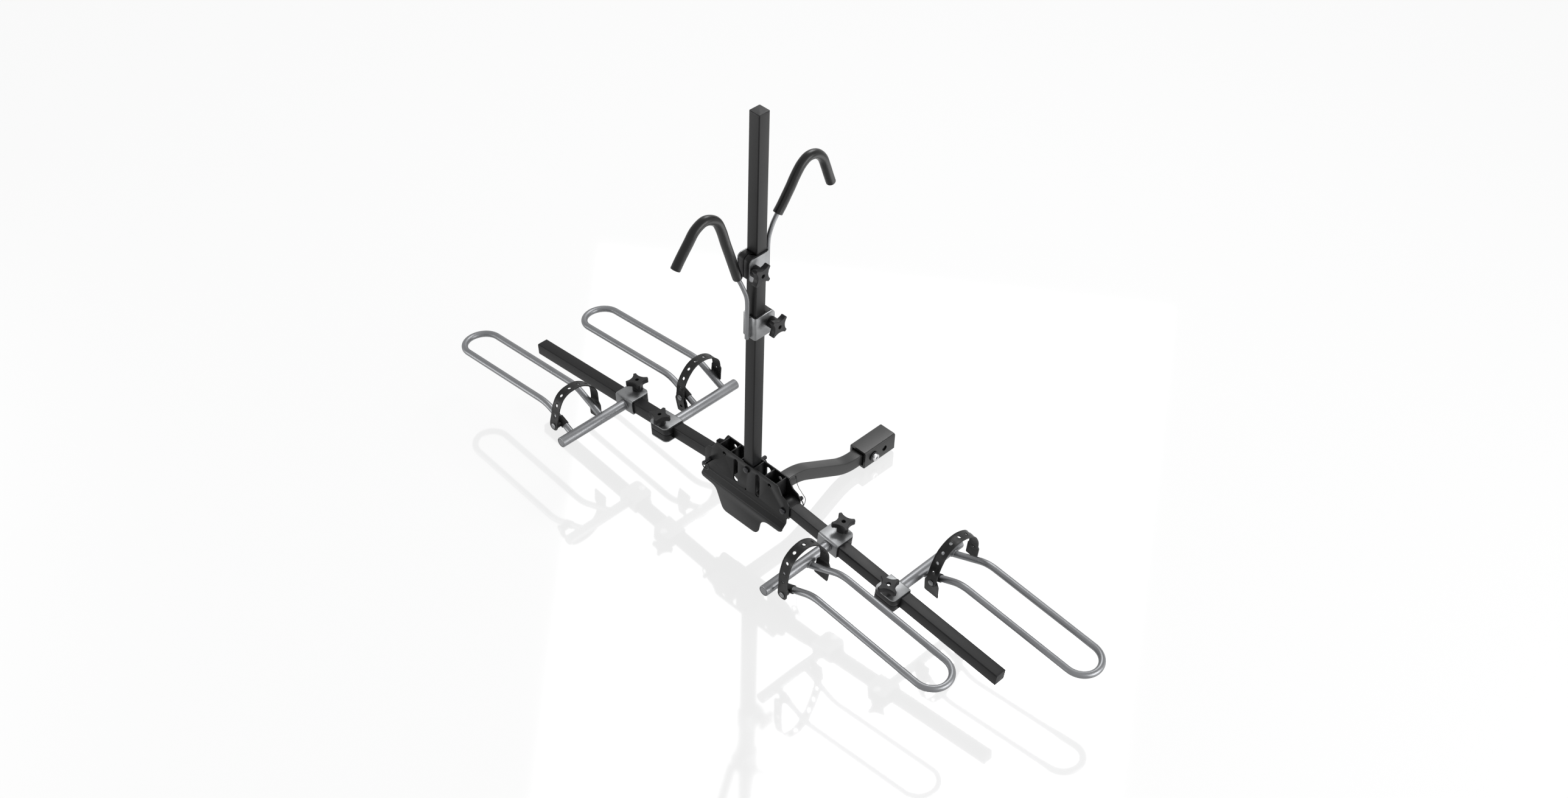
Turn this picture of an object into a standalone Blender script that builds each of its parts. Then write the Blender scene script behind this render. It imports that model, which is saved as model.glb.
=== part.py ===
"""Hitch-mounted bicycle rack for two bikes, built as separate pieces.

Dimensions are measured from the mast's axis, at the height where the arms
leave the bracket. The whole is then moved so that the origin is on the hitch
sleeve's top face, above the hitch pin hole. +X runs along the right arm,
+Y points to the vehicle, +Z is up. Metres.
"""

import math

import bmesh
import bpy
from mathutils import Matrix, Vector

MM = 0.001
GAP = 0.3 * MM

# Bracket in the middle of the rack
PLATE = 3.0 * MM
PLATE_INNER_Y = 16.0 * MM
PLATE_TOP = 55.0 * MM
BRACKET_HALF_WIDTH = 136.0 * MM
WEB_STATIONS = (20.4 * MM, 54.8 * MM, 91.3 * MM)
WEB_BOTTOM = -24.0 * MM
SLOT_CENTRE_X = 35.4 * MM
SLOT_WIDTH = 13.4 * MM
SLOT_BOTTOM = -23.0 * MM
SLOT_TOP = 46.0 * MM
LIGHTENING_HOLE = (73.0 * MM, 39.0 * MM, 5.2 * MM)
DRAIN_HOLE = (-2.5 * MM, -25.0 * MM, 2.5 * MM)
BEND_ONE = -43.0 * MM
BEND_TWO = -60.1 * MM
BEND_ANGLE = math.radians(38.6)
BEND_RADIUS = 6.0 * MM
BACK_PLATE_FOOT = -61.7 * MM

# Hitch bar and the sleeve that adapts it to a 2 inch receiver
SHANK = 31.8 * MM
SHANK_WALL = 4.0 * MM
SHANK_FRONT_Y = -26.0 * MM
SHANK_TOP = -62.0 * MM
SHANK_REAR_CENTRE_Z = -167.5 * MM
SHANK_BEND_START_Y = 110.0 * MM
SHANK_BEND_RADIUS = 140.0 * MM
SHANK_SLOPE = math.radians(28.0)
SHANK_REAR_Y = 411.0 * MM
SLEEVE = 50.8 * MM
SLEEVE_WALL = 6.4 * MM
SLEEVE_FRONT_Y = 362.0 * MM
SLEEVE_REAR_Y = 468.0 * MM
SLEEVE_CENTRE_Z = -167.0 * MM
SLEEVE_BOLT_Y = 392.0 * MM
SLEEVE_PIN_Y = 431.0 * MM
SLEEVE_PIN_HOLE = 16.3 * MM
SLEEVE_BOLT = 12.0 * MM

# Square tube of the mast and of both arms
TUBE = 30.0 * MM
TUBE_WALL = 2.0 * MM
TUBE_CORNER = 2.6 * MM
MAST_TOP = 985.0 * MM
MAST_FOOT = -61.7 * MM
CAP_RISE = 4.7 * MM
ARM_DROOP = math.radians(5.386)
ARM_PIN = Vector((118.0 * MM, 0.0, -8.0 * MM))
ARM_RISE = 3.5 * MM
ARM_START = 16.5 * MM
ARM_END = 626.8 * MM
KNUCKLE_RADIUS = 24.4 * MM
KNUCKLE_HALF_WIDTH = 15.6 * MM
KNUCKLE_FOOT = -18.0 * MM
KNUCKLE_STOP = -23.3 * MM

# Lock pins through the bracket
PIN = 10.0 * MM
PIN_HOLE = 10.8 * MM
PIN_HEAD = 16.0 * MM
PIN_HEAD_THICKNESS = 5.0 * MM
PIN_TIP = 43.0 * MM
PIN_CROSS_HOLE_Y = 35.0 * MM
PIN_CROSS_HOLE = 4.4 * MM
MAST_PIN_Z = 38.0 * MM
RING_RADIUS = 11.0 * MM
RING_WIRE = 2.0 * MM
RING_LIFT = 0.3 * MM

# Clamp that grips the square tube, used on the arms and on the mast
CLAMP_LENGTH = 58.4 * MM
CLAMP_PLATE = 3.0 * MM
CLAMP_INNER = 16.6 * MM
CLAMP_REACH = 38.5 * MM
CLAMP_BEND = 3.5 * MM
CLAMP_CORNER = 12.0 * MM
LINER_SKIN = 1.0 * MM
LINER_REACH = 37.4 * MM
LINER_LENGTH = 60.8 * MM
LINER_SLIT = 1.4 * MM
BOLT_OFFSET = 27.0 * MM
BOLT = 8.0 * MM
BOLT_HOLE = 9.0 * MM
KNOB_RISE = 27.2 * MM
KNOB_HEAD = 13.0 * MM
KNOB_RADIUS = 27.0 * MM
KNOB_WAIST = 15.5 * MM
KNOB_TIP = 3.5 * MM
KNOB_HUB = 13.0 * MM
KNOB_SOCKET = 4.6 * MM
BOLT_HEAD = 9.0 * MM

# Wheel holders: stations are distances from the arm pin along the arm
CROSS_TUBE = 25.4 * MM
CROSS_TUBE_WALL = 2.0 * MM
CROSS_TUBE_DROP = 1.4 * MM
CROSS_TUBE_END = 216.5 * MM
LOOP_ROD = 15.8 * MM
LOOP_HALF_SPACING = 45.0 * MM
LOOP_LEVEL = 40.5 * MM
LOOP_FOOT = -14.0 * MM
LOOP_KINK = 100.0 * MM
LOOP_KINK_RADIUS = 90.0 * MM
LOOP_CENTRE = 401.0 * MM
LOOP_COPE_REACH = 67.5 * MM

# Side of the arm along X, side of the wheel loop along Y, station, loop's offset along Y,
# and the star knob's turn in degrees
HOLDERS = {
    "front_left": (-1, -1, 302.0 * MM, 126.5 * MM, 30),
    "rear_left": (-1, 1, 161.8 * MM, 142.3 * MM, 23),
    "front_right": (1, -1, 137.9 * MM, 126.5 * MM, 60),
    "rear_right": (1, 1, 325.3 * MM, 142.3 * MM, 14),
}

# Straps. A strap's wide tab hangs behind the rear rail on the front holders, and in front of
# the front rail on the rear ones. A loop round the front rail carries the strap by its neck,
# whose size is given along the rail and in height.
STRAP_THICKNESS = 3.2 * MM
STRAP_WIDTH = 26.0 * MM
STRAP_TONGUE_CORNER = 11.0 * MM
STRAP_TAB_WIDTH = 40.0 * MM
STRAP_TAB_LENGTH = 52.0 * MM
STRAP_TAB_TAPER = 10.0 * MM
STRAP_FOOT_WIDTH = 32.0 * MM
STRAP_FOOT_LENGTH = 16.0 * MM
STRAP_HOLE = 8.0 * MM
STRAP_HOLE_PITCH = 26.5 * MM
STRAP_FIRST_HOLE = {-1: 37.5 * MM, 1: 77.0 * MM}
STRAP_LAST_HOLE = 76.0 * MM
STRAP_LOOP = 21.2 * MM
STRAP_LOOP_LENGTH = 24.0 * MM
STRAP_LOOP_SIDES = 16
STRAP_NECK = (16.0 * MM, 10.0 * MM)

# Strap's station along the holder, from its cross tube
STRAP_OFFSETS = {"front_left": 47.0 * MM, "rear_left": 48.0 * MM,
                 "front_right": 36.0 * MM, "rear_right": 38.0 * MM}

# Strap's middle line in millimetres, from its front end: (from the loop's centre along Y, height)
STRAP_PATHS = {
    "front_left": [(-71, 2), (-69, 20), (-62, 40), (-56, 59), (-44, 78), (-28, 88), (-9, 91),
                   (10, 90), (27, 83), (44, 70), (56, 52), (58, 32), (57, 6), (56, -32)],
    "rear_left": [(-58, -40), (-61, -18), (-63, 6), (-60, 24), (-57, 40), (-49, 54), (-37, 68),
                  (-21, 80), (-1, 86), (23, 84), (43, 75), (57, 60), (60, 40), (57, 20), (55, 4)],
    "front_right": [(-68, -8), (-69, 10), (-70, 30), (-72, 64), (-70, 88), (-64, 111),
                    (-48, 127), (-26, 133), (-9, 130), (13, 116), (31, 94), (45, 72),
                    (56, 48), (60, 20), (58, -2), (56, -32)],
    "rear_right": [(-58, -42), (-62, -20), (-65, 4), (-64, 24), (-62, 43), (-55, 67), (-45, 86),
                   (-28, 99), (-10, 104), (11, 102), (34, 92), (51, 78), (66, 52), (71, 30),
                   (72, 8), (72, -8)],
}

# Hook arms on the mast, in millimetres: (along Y, height)
HOOK_ROD = 10.0 * MM
FOAM = 20.8 * MM
LOWER_CLAMP_Z = 456.0 * MM
UPPER_CLAMP_Z = 620.8 * MM
HOOK_KNOB_TURN = 45
FRONT_HOOK_X = 0.0
REAR_HOOK_X = 7.0 * MM
FRONT_HOOK = [(-24.9, 426), (-24.9, 480), (-25.1, 520), (-28, 541), (-35.5, 562), (-45, 584),
              (-54.5, 605), (-66.2, 640), (-78, 676), (-90, 712), (-101.2, 748.1),
              (-113.5, 775.4), (-131, 790.6), (-151.6, 796), (-174.7, 785.4), (-192, 764.4),
              (-205, 748), (-217, 732.3), (-227.8, 716.9)]
REAR_HOOK = [(24.9, 592), (24.9, 640), (25.2, 660), (27, 674), (31.5, 688), (39, 704.3),
             (50.3, 720.7), (62, 735), (76.9, 756), (88, 772), (99, 789.5), (116.3, 810.7),
             (136.5, 821.4), (159.9, 817), (178.6, 799), (189.8, 773.4), (198.8, 749),
             (208.5, 723.6)]
FOAM_START = 6
HOOK_PATH_PIECES = 2
HOOK_ROD_SETBACK = 3.0 * MM

# Tether of the right pin's ring
TETHER_WIRE = 1.5 * MM
TETHER = [(17.0, 127.5, -66.5), (18.5, 129.1, -79.1), (26.0, 121.5, -77.9), (58.0, 94.7, -55.0), (82.0, 74.0, -31.3),
          (103.0, 55.5, -9.9), (112.0, 48.2, -2.7), (122.0, 42.1, 2.2), (131.4, 39.5, -3.0),
          (131.1, 35.0, -18.7)]


def fillet(before, corner, after, radius, step=math.radians(20)):
    """Points of the arc that rounds one corner of a path."""
    if radius <= 0:
        return [corner.copy()]
    back = (before - corner).normalized()
    ahead = (after - corner).normalized()
    opening = back.angle(ahead)
    tangent = radius / math.tan(opening / 2)
    middle = (back + ahead).normalized()
    centre = corner + middle * radius / math.sin(opening / 2)
    start = corner + back * tangent - centre
    finish = corner + ahead * tangent - centre
    turn = math.pi - opening
    count = max(2, math.ceil(turn / step))
    points = []
    for index in range(count + 1):
        share = index / count
        blend = start * math.sin((1 - share) * turn) + finish * math.sin(share * turn)
        points.append(centre + blend / math.sin(turn))
    return points


def rounded_path(corners, step=math.radians(20)):
    """Open path whose inner corners are (point, radius) pairs."""
    points = [Vector(corners[0][0])]
    for index in range(1, len(corners) - 1):
        before = Vector(corners[index - 1][0])
        after = Vector(corners[index + 1][0])
        points += fillet(before, Vector(corners[index][0]), after, corners[index][1], step)
    points.append(Vector(corners[-1][0]))
    return points


def rounded_outline(corners, step=math.radians(22)):
    """Closed outline in a plane, from (x, y, radius) corners."""
    points = []
    count = len(corners)
    for index, (x, y, radius) in enumerate(corners):
        before = Vector((*corners[index - 1][:2], 0))
        after = Vector((*corners[(index + 1) % count][:2], 0))
        points += fillet(before, Vector((x, y, 0)), after, radius, step)
    return [(point.x, point.y) for point in points]


def circle(x, y, radius, sides=16):
    """Closed round outline."""
    turns = [2 * math.pi * index / sides for index in range(sides)]
    return [(x + radius * math.cos(turn), y + radius * math.sin(turn)) for turn in turns]


def slot(x, low, high, width, segments=4):
    """Closed outline of an upright slot with round ends."""
    radius = width / 2
    points = []
    for index in range(segments + 1):
        turn = math.pi * index / segments
        points.append((x + radius * math.cos(turn), high - radius + radius * math.sin(turn)))
    for index in range(segments + 1):
        turn = math.pi + math.pi * index / segments
        points.append((x + radius * math.cos(turn), low + radius + radius * math.sin(turn)))
    return points


def square(half, corner):
    """Closed outline of a square tube's section, with rounded corners."""
    return rounded_outline([(half, half, corner), (-half, half, corner),
                            (-half, -half, corner), (half, -half, corner)], math.radians(45))


def finish(name, mesh_data, material, parent=None, smooth=True):
    """Link a bmesh as a named object with its faces pointing out."""
    bmesh.ops.recalc_face_normals(mesh_data, faces=mesh_data.faces)
    mesh = bpy.data.meshes.new(name)
    mesh_data.to_mesh(mesh)
    mesh_data.free()
    if smooth:
        mesh.shade_smooth()
        mesh.set_sharp_from_angle(angle=math.radians(32))
    piece = bpy.data.objects.new(name, mesh)
    bpy.context.scene.collection.objects.link(piece)
    piece.data.materials.append(material)
    piece.parent = parent
    return piece


def cutter(name, mesh_data, parent=None):
    """A shape that only cuts, and isn't a piece of the rack."""
    piece = finish(name, mesh_data, MATERIALS["steel"], parent, smooth=False)
    piece.display_type = "WIRE"
    piece.hide_render = True
    return piece


def cut(piece, tool, operation="DIFFERENCE"):
    """Take the tool's shape out of a piece, or join it on."""
    modifier = piece.modifiers.new(tool.name, "BOOLEAN")
    modifier.object = tool
    modifier.operation = operation
    modifier.solver = "EXACT"


def flat_sheet(outline, holes=()):
    """A flat face in the XY plane with holes through it."""
    sheet = bmesh.new()
    for loop in (outline, *holes):
        verts = [sheet.verts.new((x, y, 0)) for x, y in loop]
        for index, vert in enumerate(verts):
            sheet.edges.new((vert, verts[index - 1]))
    bmesh.ops.triangle_fill(sheet, edges=sheet.edges[:], use_beauty=True)
    return sheet


def prism(outline, low, high, place, holes=()):
    """Extrude an outline; place(x, y, depth) puts each point in space."""
    solid = flat_sheet(outline, holes)
    base = list(solid.verts)
    lifted = bmesh.ops.extrude_face_region(solid, geom=solid.faces[:])["geom"]
    for vert in (item for item in lifted if isinstance(item, bmesh.types.BMVert)):
        vert.co.z = high
    for vert in base:
        vert.co.z = low
    for vert in solid.verts:
        vert.co = place(*vert.co)
    return solid


def along_x(y, z, x):
    return Vector((x, y, z))


def along_y(x, z, y):
    return Vector((x, y, z))


def along_z(x, y, z):
    return Vector((x, y, z))


def folded(distance, bends):
    """Place on a sheet's middle line after its bends, and the normal there.

    The line starts along (0, -1) and distance falls from the top, as z does.
    Each bend is (distance, angle, radius), and a positive angle turns it out.
    """
    place = Vector((0.0, 0.0))
    heading = 0.0
    here = 0.0
    for station, angle, radius in bends:
        half_arc = abs(angle) * radius / 2
        start = station + half_arc
        if distance >= start:
            break
        place += Vector((-math.sin(heading), -math.cos(heading))) * (here - start)
        here = start
        run = min(here - distance, 2 * half_arc)
        turned = math.copysign(run / radius, angle)
        chord = 2 * radius * math.sin(abs(turned) / 2)
        middle = heading + turned / 2
        place += Vector((-math.sin(middle), -math.cos(middle))) * chord
        heading += turned
        here -= run
        if run < 2 * half_arc:
            break
    place += Vector((-math.sin(heading), -math.cos(heading))) * (here - distance)
    return place, Vector((math.cos(heading), -math.sin(heading)))


def fold_sheet(sheet, bends, thickness, place, arc_cuts=2):
    """Bend a flat sheet across Y at each bend, and give it its thickness."""
    for station, angle, radius in bends:
        half_arc = abs(angle) * radius / 2
        for index in range(arc_cuts + 1):
            height = station + half_arc * (1 - 2 * index / arc_cuts)
            bmesh.ops.bisect_plane(sheet, geom=sheet.verts[:] + sheet.edges[:] + sheet.faces[:],
                                   plane_co=(0, height, 0), plane_no=(0, 1, 0), dist=1e-7)
    bmesh.ops.triangulate(sheet, faces=sheet.faces[:])
    bmesh.ops.recalc_face_normals(sheet, faces=sheet.faces[:])
    geometry = bmesh.ops.extrude_face_region(sheet, geom=sheet.faces[:])["geom"]
    lifted = {item for item in geometry if isinstance(item, bmesh.types.BMVert)}
    for vert in sheet.verts:
        flat = vert.co.copy()
        spot, normal = folded(flat.y, bends)
        offset = thickness / 2 if vert in lifted else -thickness / 2
        spot = spot + normal * offset
        vert.co = place(flat.x, spot.x, spot.y)
    return sheet


def rod_mesh(points, radius, sides=10, radii=None):
    """A round rod along a path, as a curve with filled caps turned to mesh."""
    curve = bpy.data.curves.new("rod_path", "CURVE")
    curve.dimensions = "3D"
    curve.bevel_depth = radius
    curve.bevel_resolution = (sides - 4) // 2
    curve.use_fill_caps = True
    spline = curve.splines.new("POLY")
    spline.points.add(len(points) - 1)
    for index, point in enumerate(points):
        spline.points[index].co = (*point, 1.0)
        spline.points[index].radius = radii[index] if radii else 1.0
    holder = bpy.data.objects.new("rod_path", curve)
    bpy.context.scene.collection.objects.link(holder)
    bpy.context.view_layer.update()
    evaluated = holder.evaluated_get(bpy.context.evaluated_depsgraph_get())
    mesh = bpy.data.meshes.new_from_object(evaluated)
    solid = bmesh.new()
    solid.from_mesh(mesh)
    bmesh.ops.remove_doubles(solid, verts=solid.verts[:], dist=1e-6)
    bpy.data.objects.remove(holder)
    bpy.data.meshes.remove(mesh)
    bpy.data.curves.remove(curve)
    return solid


def turned(profile, place, sides=20):
    """A solid of revolution from (radius, depth) steps, closed on its axis."""
    solid = bmesh.new()
    rings = []
    for radius, depth in profile:
        ring = [solid.verts.new((x, y, depth)) for x, y in circle(0, 0, radius, sides)]
        rings.append(ring)
    for low, high in zip(rings, rings[1:]):
        for index in range(sides):
            solid.faces.new((low[index - 1], low[index], high[index], high[index - 1]))
    solid.faces.new(rings[0])
    solid.faces.new(rings[-1])
    for vert in solid.verts:
        vert.co = place(*vert.co)
    return solid


def square_tube(name, half, wall, low, high, place, material, parent):
    """Open-ended square tube with rounded outer edges."""
    outline = square(half, TUBE_CORNER)
    bore = square(half - wall, TUBE_CORNER - 1.4 * MM)
    return finish(name, prism(outline, low, high, place, [bore]), material, parent)


def make_materials():
    """Plain colours of the rack's finishes."""
    table = {
        "powder coat": ((0.030, 0.030, 0.032), 0.45, 0.2),
        "steel": ((0.55, 0.56, 0.58), 0.32, 1.0),
        "zinc plate": ((0.62, 0.62, 0.62), 0.38, 1.0),
        "black plastic": ((0.012, 0.012, 0.013), 0.55, 0.0),
        "rubber": ((0.018, 0.018, 0.018), 0.75, 0.0),
        "foam": ((0.022, 0.022, 0.022), 0.9, 0.0),
    }
    materials = {}
    for name, (colour, roughness, metallic) in table.items():
        material = bpy.data.materials.new(name)
        material.use_nodes = True
        shader = material.node_tree.nodes["Principled BSDF"]
        shader.inputs["Base Color"].default_value = (*colour, 1.0)
        shader.inputs["Roughness"].default_value = roughness
        shader.inputs["Metallic"].default_value = metallic
        materials[name] = material
    return materials


def empty(name, location, rotation=(0, 0, 0), parent=None):
    """A parent that stands on a joint's axis."""
    holder = bpy.data.objects.new(name, None)
    bpy.context.scene.collection.objects.link(holder)
    holder.location = location
    holder.rotation_euler = rotation
    holder.parent = parent
    return holder


def shoulder(side):
    """Corners of the bracket's shoulder above one arm."""
    return [(side * 99.5 * MM, PLATE_TOP, 5 * MM), (side * 112 * MM, 32 * MM, 8 * MM),
            (side * 128 * MM, 26 * MM, 8 * MM), (side * BRACKET_HALF_WIDTH, 16 * MM, 6 * MM)]


def bracket_holes():
    """Slots, lightening holes and pin holes that both plates share."""
    x, z, radius = LIGHTENING_HOLE
    holes = []
    for side in (-1, 1):
        holes.append(slot(side * SLOT_CENTRE_X, SLOT_BOTTOM, SLOT_TOP, SLOT_WIDTH))
        holes.append(circle(side * x, z, radius, 12))
        holes.append(circle(side * ARM_PIN.x, ARM_PIN.z, PIN_HOLE / 2))
    holes.append(circle(0, MAST_PIN_Z, PIN_HOLE / 2))
    return holes


def build_bracket():
    """Bent front plate, flat back plate and the six webs between them."""
    right = shoulder(1) + [(136 * MM, -18 * MM, 6 * MM), (128 * MM, -30 * MM, 8 * MM),
                           (125.5 * MM, -66 * MM, 5 * MM), (116 * MM, -72 * MM, 8 * MM),
                           (60 * MM, -72.5 * MM, 28 * MM), (49 * MM, -130 * MM, 20 * MM)]
    left = [(-65 * MM, -131 * MM, 18 * MM), (-91 * MM, -73 * MM, 22 * MM),
            (-138 * MM, -69 * MM, 8 * MM), (-136.5 * MM, -20 * MM, 0)] + shoulder(-1)[::-1]
    x, z, radius = DRAIN_HOLE
    holes = bracket_holes() + [circle(x, z, radius, 10)]
    sheet = flat_sheet(rounded_outline(right + left), holes)
    bends = [(BEND_ONE, BEND_ANGLE, BEND_RADIUS), (BEND_TWO, -BEND_ANGLE, BEND_RADIUS)]
    middle = -PLATE_INNER_Y - PLATE / 2
    front = fold_sheet(sheet, bends, PLATE, lambda x, out, z: Vector((x, middle + out, z)))
    finish("bracket_front_plate", front, MATERIALS["powder coat"])

    foot = [(side * 62 * MM, BACK_PLATE_FOOT, 12 * MM) for side in (1, -1)]
    outline = (shoulder(1) + [(BRACKET_HALF_WIDTH, -20 * MM, 8 * MM), (112 * MM, -42 * MM, 20 * MM)]
               + foot + [(-112 * MM, -42 * MM, 20 * MM), (-BRACKET_HALF_WIDTH, -20 * MM, 8 * MM)]
               + shoulder(-1)[::-1])
    back = prism(rounded_outline(outline), PLATE_INNER_Y, PLATE_INNER_Y + PLATE, along_y,
                 bracket_holes())
    finish("bracket_back_plate", back, MATERIALS["powder coat"])

    half = PLATE_INNER_Y - GAP
    top = PLATE_TOP - 0.5 * MM
    stations = [-x for x in WEB_STATIONS[::-1]] + list(WEB_STATIONS)
    for number, station in enumerate(stations, 1):
        outline = [(-half, WEB_BOTTOM), (half, WEB_BOTTOM), (half, top), (-half, top)]
        web = prism(outline, station - PLATE / 2, station + PLATE / 2, along_x)
        finish(f"bracket_web_{number}", web, MATERIALS["powder coat"], smooth=False)


def build_hitch():
    """Bent hitch bar, the receiver sleeve on its end and the sleeve's bolt."""
    level = SHANK_TOP - SHANK / 2
    drop = level - SHANK_REAR_CENTRE_Z
    run = drop / math.tan(SHANK_SLOPE)
    half_turn = SHANK_BEND_RADIUS * math.tan(SHANK_SLOPE / 2)
    first = SHANK_BEND_START_Y + half_turn
    corners = [((0, SHANK_FRONT_Y, level), 0), ((0, first, level), SHANK_BEND_RADIUS),
               ((0, first + run, SHANK_REAR_CENTRE_Z), SHANK_BEND_RADIUS),
               ((0, SHANK_REAR_Y, SHANK_REAR_CENTRE_Z), 0)]
    path = rounded_path(corners, math.radians(7))
    shank = swept_tube(path, square(SHANK / 2, 3 * MM), square(SHANK / 2 - SHANK_WALL, 1 * MM))
    bar = finish("hitch_shank", shank, MATERIALS["powder coat"])

    outline = square(SLEEVE / 2, 4.5 * MM)
    bore = square(SLEEVE / 2 - SLEEVE_WALL, 2.2 * MM)
    tube = prism(outline, SLEEVE_FRONT_Y, SLEEVE_REAR_Y,
                 lambda x, z, y: Vector((x, y, z + SLEEVE_CENTRE_Z)), [bore])
    sleeve = finish("hitch_sleeve", tube, MATERIALS["powder coat"])

    bolt_z = SLEEVE_CENTRE_Z
    reach = SLEEVE / 2 + 8 * MM
    hole = prism(circle(SLEEVE_BOLT_Y, bolt_z, SLEEVE_BOLT / 2 + 0.6 * MM), -reach, reach, along_x)
    bolt_hole = cutter("sleeve_bolt_hole", hole)
    hole = prism(circle(SLEEVE_PIN_Y, bolt_z, SLEEVE_PIN_HOLE / 2, 20), -reach, reach, along_x)
    pin_hole = cutter("sleeve_pin_hole", hole)
    cut(bar, bolt_hole)
    cut(sleeve, bolt_hole)
    cut(sleeve, pin_hole)

    face = SLEEVE / 2 + GAP
    washer = 13.5 * MM
    head = 9.5 * MM
    profile = [(SLEEVE_BOLT / 2 - 1 * MM, -face - 2 * MM), (SLEEVE_BOLT / 2, -face - 1 * MM),
               (SLEEVE_BOLT / 2, face), (washer, face), (washer, face + 3 * MM), (head, face + 3 * MM),
               (head, face + 10 * MM), (head - 2 * MM, face + 11.2 * MM)]
    bolt = turned(profile, lambda a, b, depth: Vector((depth, SLEEVE_BOLT_Y + a, bolt_z + b)), 18)
    finish("sleeve_bolt", bolt, MATERIALS["zinc plate"])


def swept_tube(path, outline, bore):
    """Square tube swept along a path in the YZ plane, open at both ends."""
    solid = bmesh.new()
    rings = []
    for index, point in enumerate(path):
        ahead = path[min(index + 1, len(path) - 1)] - path[max(index - 1, 0)]
        ahead.normalize()
        upright = Vector((0, -ahead.z, ahead.y))
        for loop in (outline, bore):
            rings.append([solid.verts.new(point + Vector((x, 0, 0)) + upright * z) for x, z in loop])
    for start in (0, 1):
        for low, high in zip(rings[start::2], rings[start + 2::2]):
            for index in range(len(low)):
                solid.faces.new((low[index - 1], low[index], high[index], high[index - 1]))
    for outer, inner in (rings[:2], rings[-2:]):
        for index in range(len(outer)):
            solid.faces.new((outer[index - 1], outer[index], inner[index], inner[index - 1]))
    return solid


def build_mast():
    """Square mast with its cap."""
    mast = square_tube("mast", TUBE / 2, TUBE_WALL, MAST_FOOT, MAST_TOP, along_z,
                       MATERIALS["powder coat"], None)
    reach = TUBE
    hole = prism(circle(0, MAST_PIN_Z, PIN_HOLE / 2), -reach, reach, along_y)
    cut(mast, cutter("mast_pin_hole", hole))
    end_cap("mast_cap", MAST_TOP, along_z, None)


def end_cap(name, station, place, parent):
    """Plastic cap that closes a square tube, with a plug inside it."""
    half = TUBE / 2
    plug = half - TUBE_WALL - GAP
    head_outline = square(half, TUBE_CORNER)
    solid = bmesh.new()
    rings = []
    for loop_half, depth in ((plug, -16 * MM), (plug, GAP), (half, GAP), (half, CAP_RISE - 1.2 * MM),
                             (half - 1.2 * MM, CAP_RISE)):
        scale = loop_half / half
        rings.append([solid.verts.new(place(x * scale, y * scale, station + depth))
                      for x, y in head_outline])
    for low, high in zip(rings, rings[1:]):
        for index in range(len(low)):
            solid.faces.new((low[index - 1], low[index], high[index], high[index - 1]))
    solid.faces.new(rings[0])
    solid.faces.new(rings[-1])
    return finish(name, solid, MATERIALS["black plastic"], parent)


def lock_pin(name, x, z, direction):
    """Pin with a chamfered head; direction is +1 where its tip is at the back.

    The origin is on the pin's axis.
    """
    axis = empty(name + "_axis", (x, 0, z))
    face = PLATE_INNER_Y + PLATE + GAP
    radius = PIN / 2
    profile = [(PIN_HEAD / 2 - 1.2 * MM, -face - PIN_HEAD_THICKNESS),
               (PIN_HEAD / 2, -face - PIN_HEAD_THICKNESS + 1 * MM), (PIN_HEAD / 2, -face),
               (radius, -face), (radius, PIN_TIP - 2 * MM), (radius - 1.8 * MM, PIN_TIP)]
    solid = turned(profile, lambda a, b, depth: Vector((a, depth * direction, b)), 16)
    pin = finish(name, solid, MATERIALS["zinc plate"], axis)
    hole = prism(circle(PIN_CROSS_HOLE_Y * direction, 0, PIN_CROSS_HOLE / 2, 12),
                 -PIN, PIN, along_x)
    cut(pin, cutter(name + "_cross_hole", hole, axis))


def lock_ring(name, x, z, direction):
    """Wire ring that hangs in the pin's cross hole; its origin is on the hole's axis."""
    axis = empty(name + "_axis", (x, PIN_CROSS_HOLE_Y * direction, z))
    solid = bmesh.new()
    sides = 6
    section = [solid.verts.new((RING_RADIUS + a, b, 0))
               for a, b in circle(0, 0, RING_WIRE / 2, sides)]
    edges = [solid.edges.new((section[index], section[index - 1])) for index in range(sides)]
    bmesh.ops.spin(solid, geom=section + edges, axis=(0, 1, 0), cent=(0, 0, 0),
                   angle=2 * math.pi, steps=16, use_merge=True)
    bmesh.ops.remove_doubles(solid, verts=solid.verts[:], dist=1e-6)
    drop = Matrix.Translation((0, 0, RING_LIFT - RING_RADIUS))
    bmesh.ops.transform(solid, matrix=drop, verts=solid.verts)
    finish(name, solid, MATERIALS["zinc plate"], axis)


def build_pins():
    """The three lock pins with their rings, and the right pin's tether."""
    lock_pin("mast_pin", 0, MAST_PIN_Z, 1)
    lock_pin("right_arm_pin", ARM_PIN.x, ARM_PIN.z, 1)
    lock_pin("left_arm_pin", -ARM_PIN.x, ARM_PIN.z, -1)
    lock_ring("mast_pin_ring", 0, MAST_PIN_Z, 1)
    lock_ring("right_pin_ring", ARM_PIN.x, ARM_PIN.z, 1)
    lock_ring("left_pin_ring", -ARM_PIN.x, ARM_PIN.z, -1)


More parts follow.
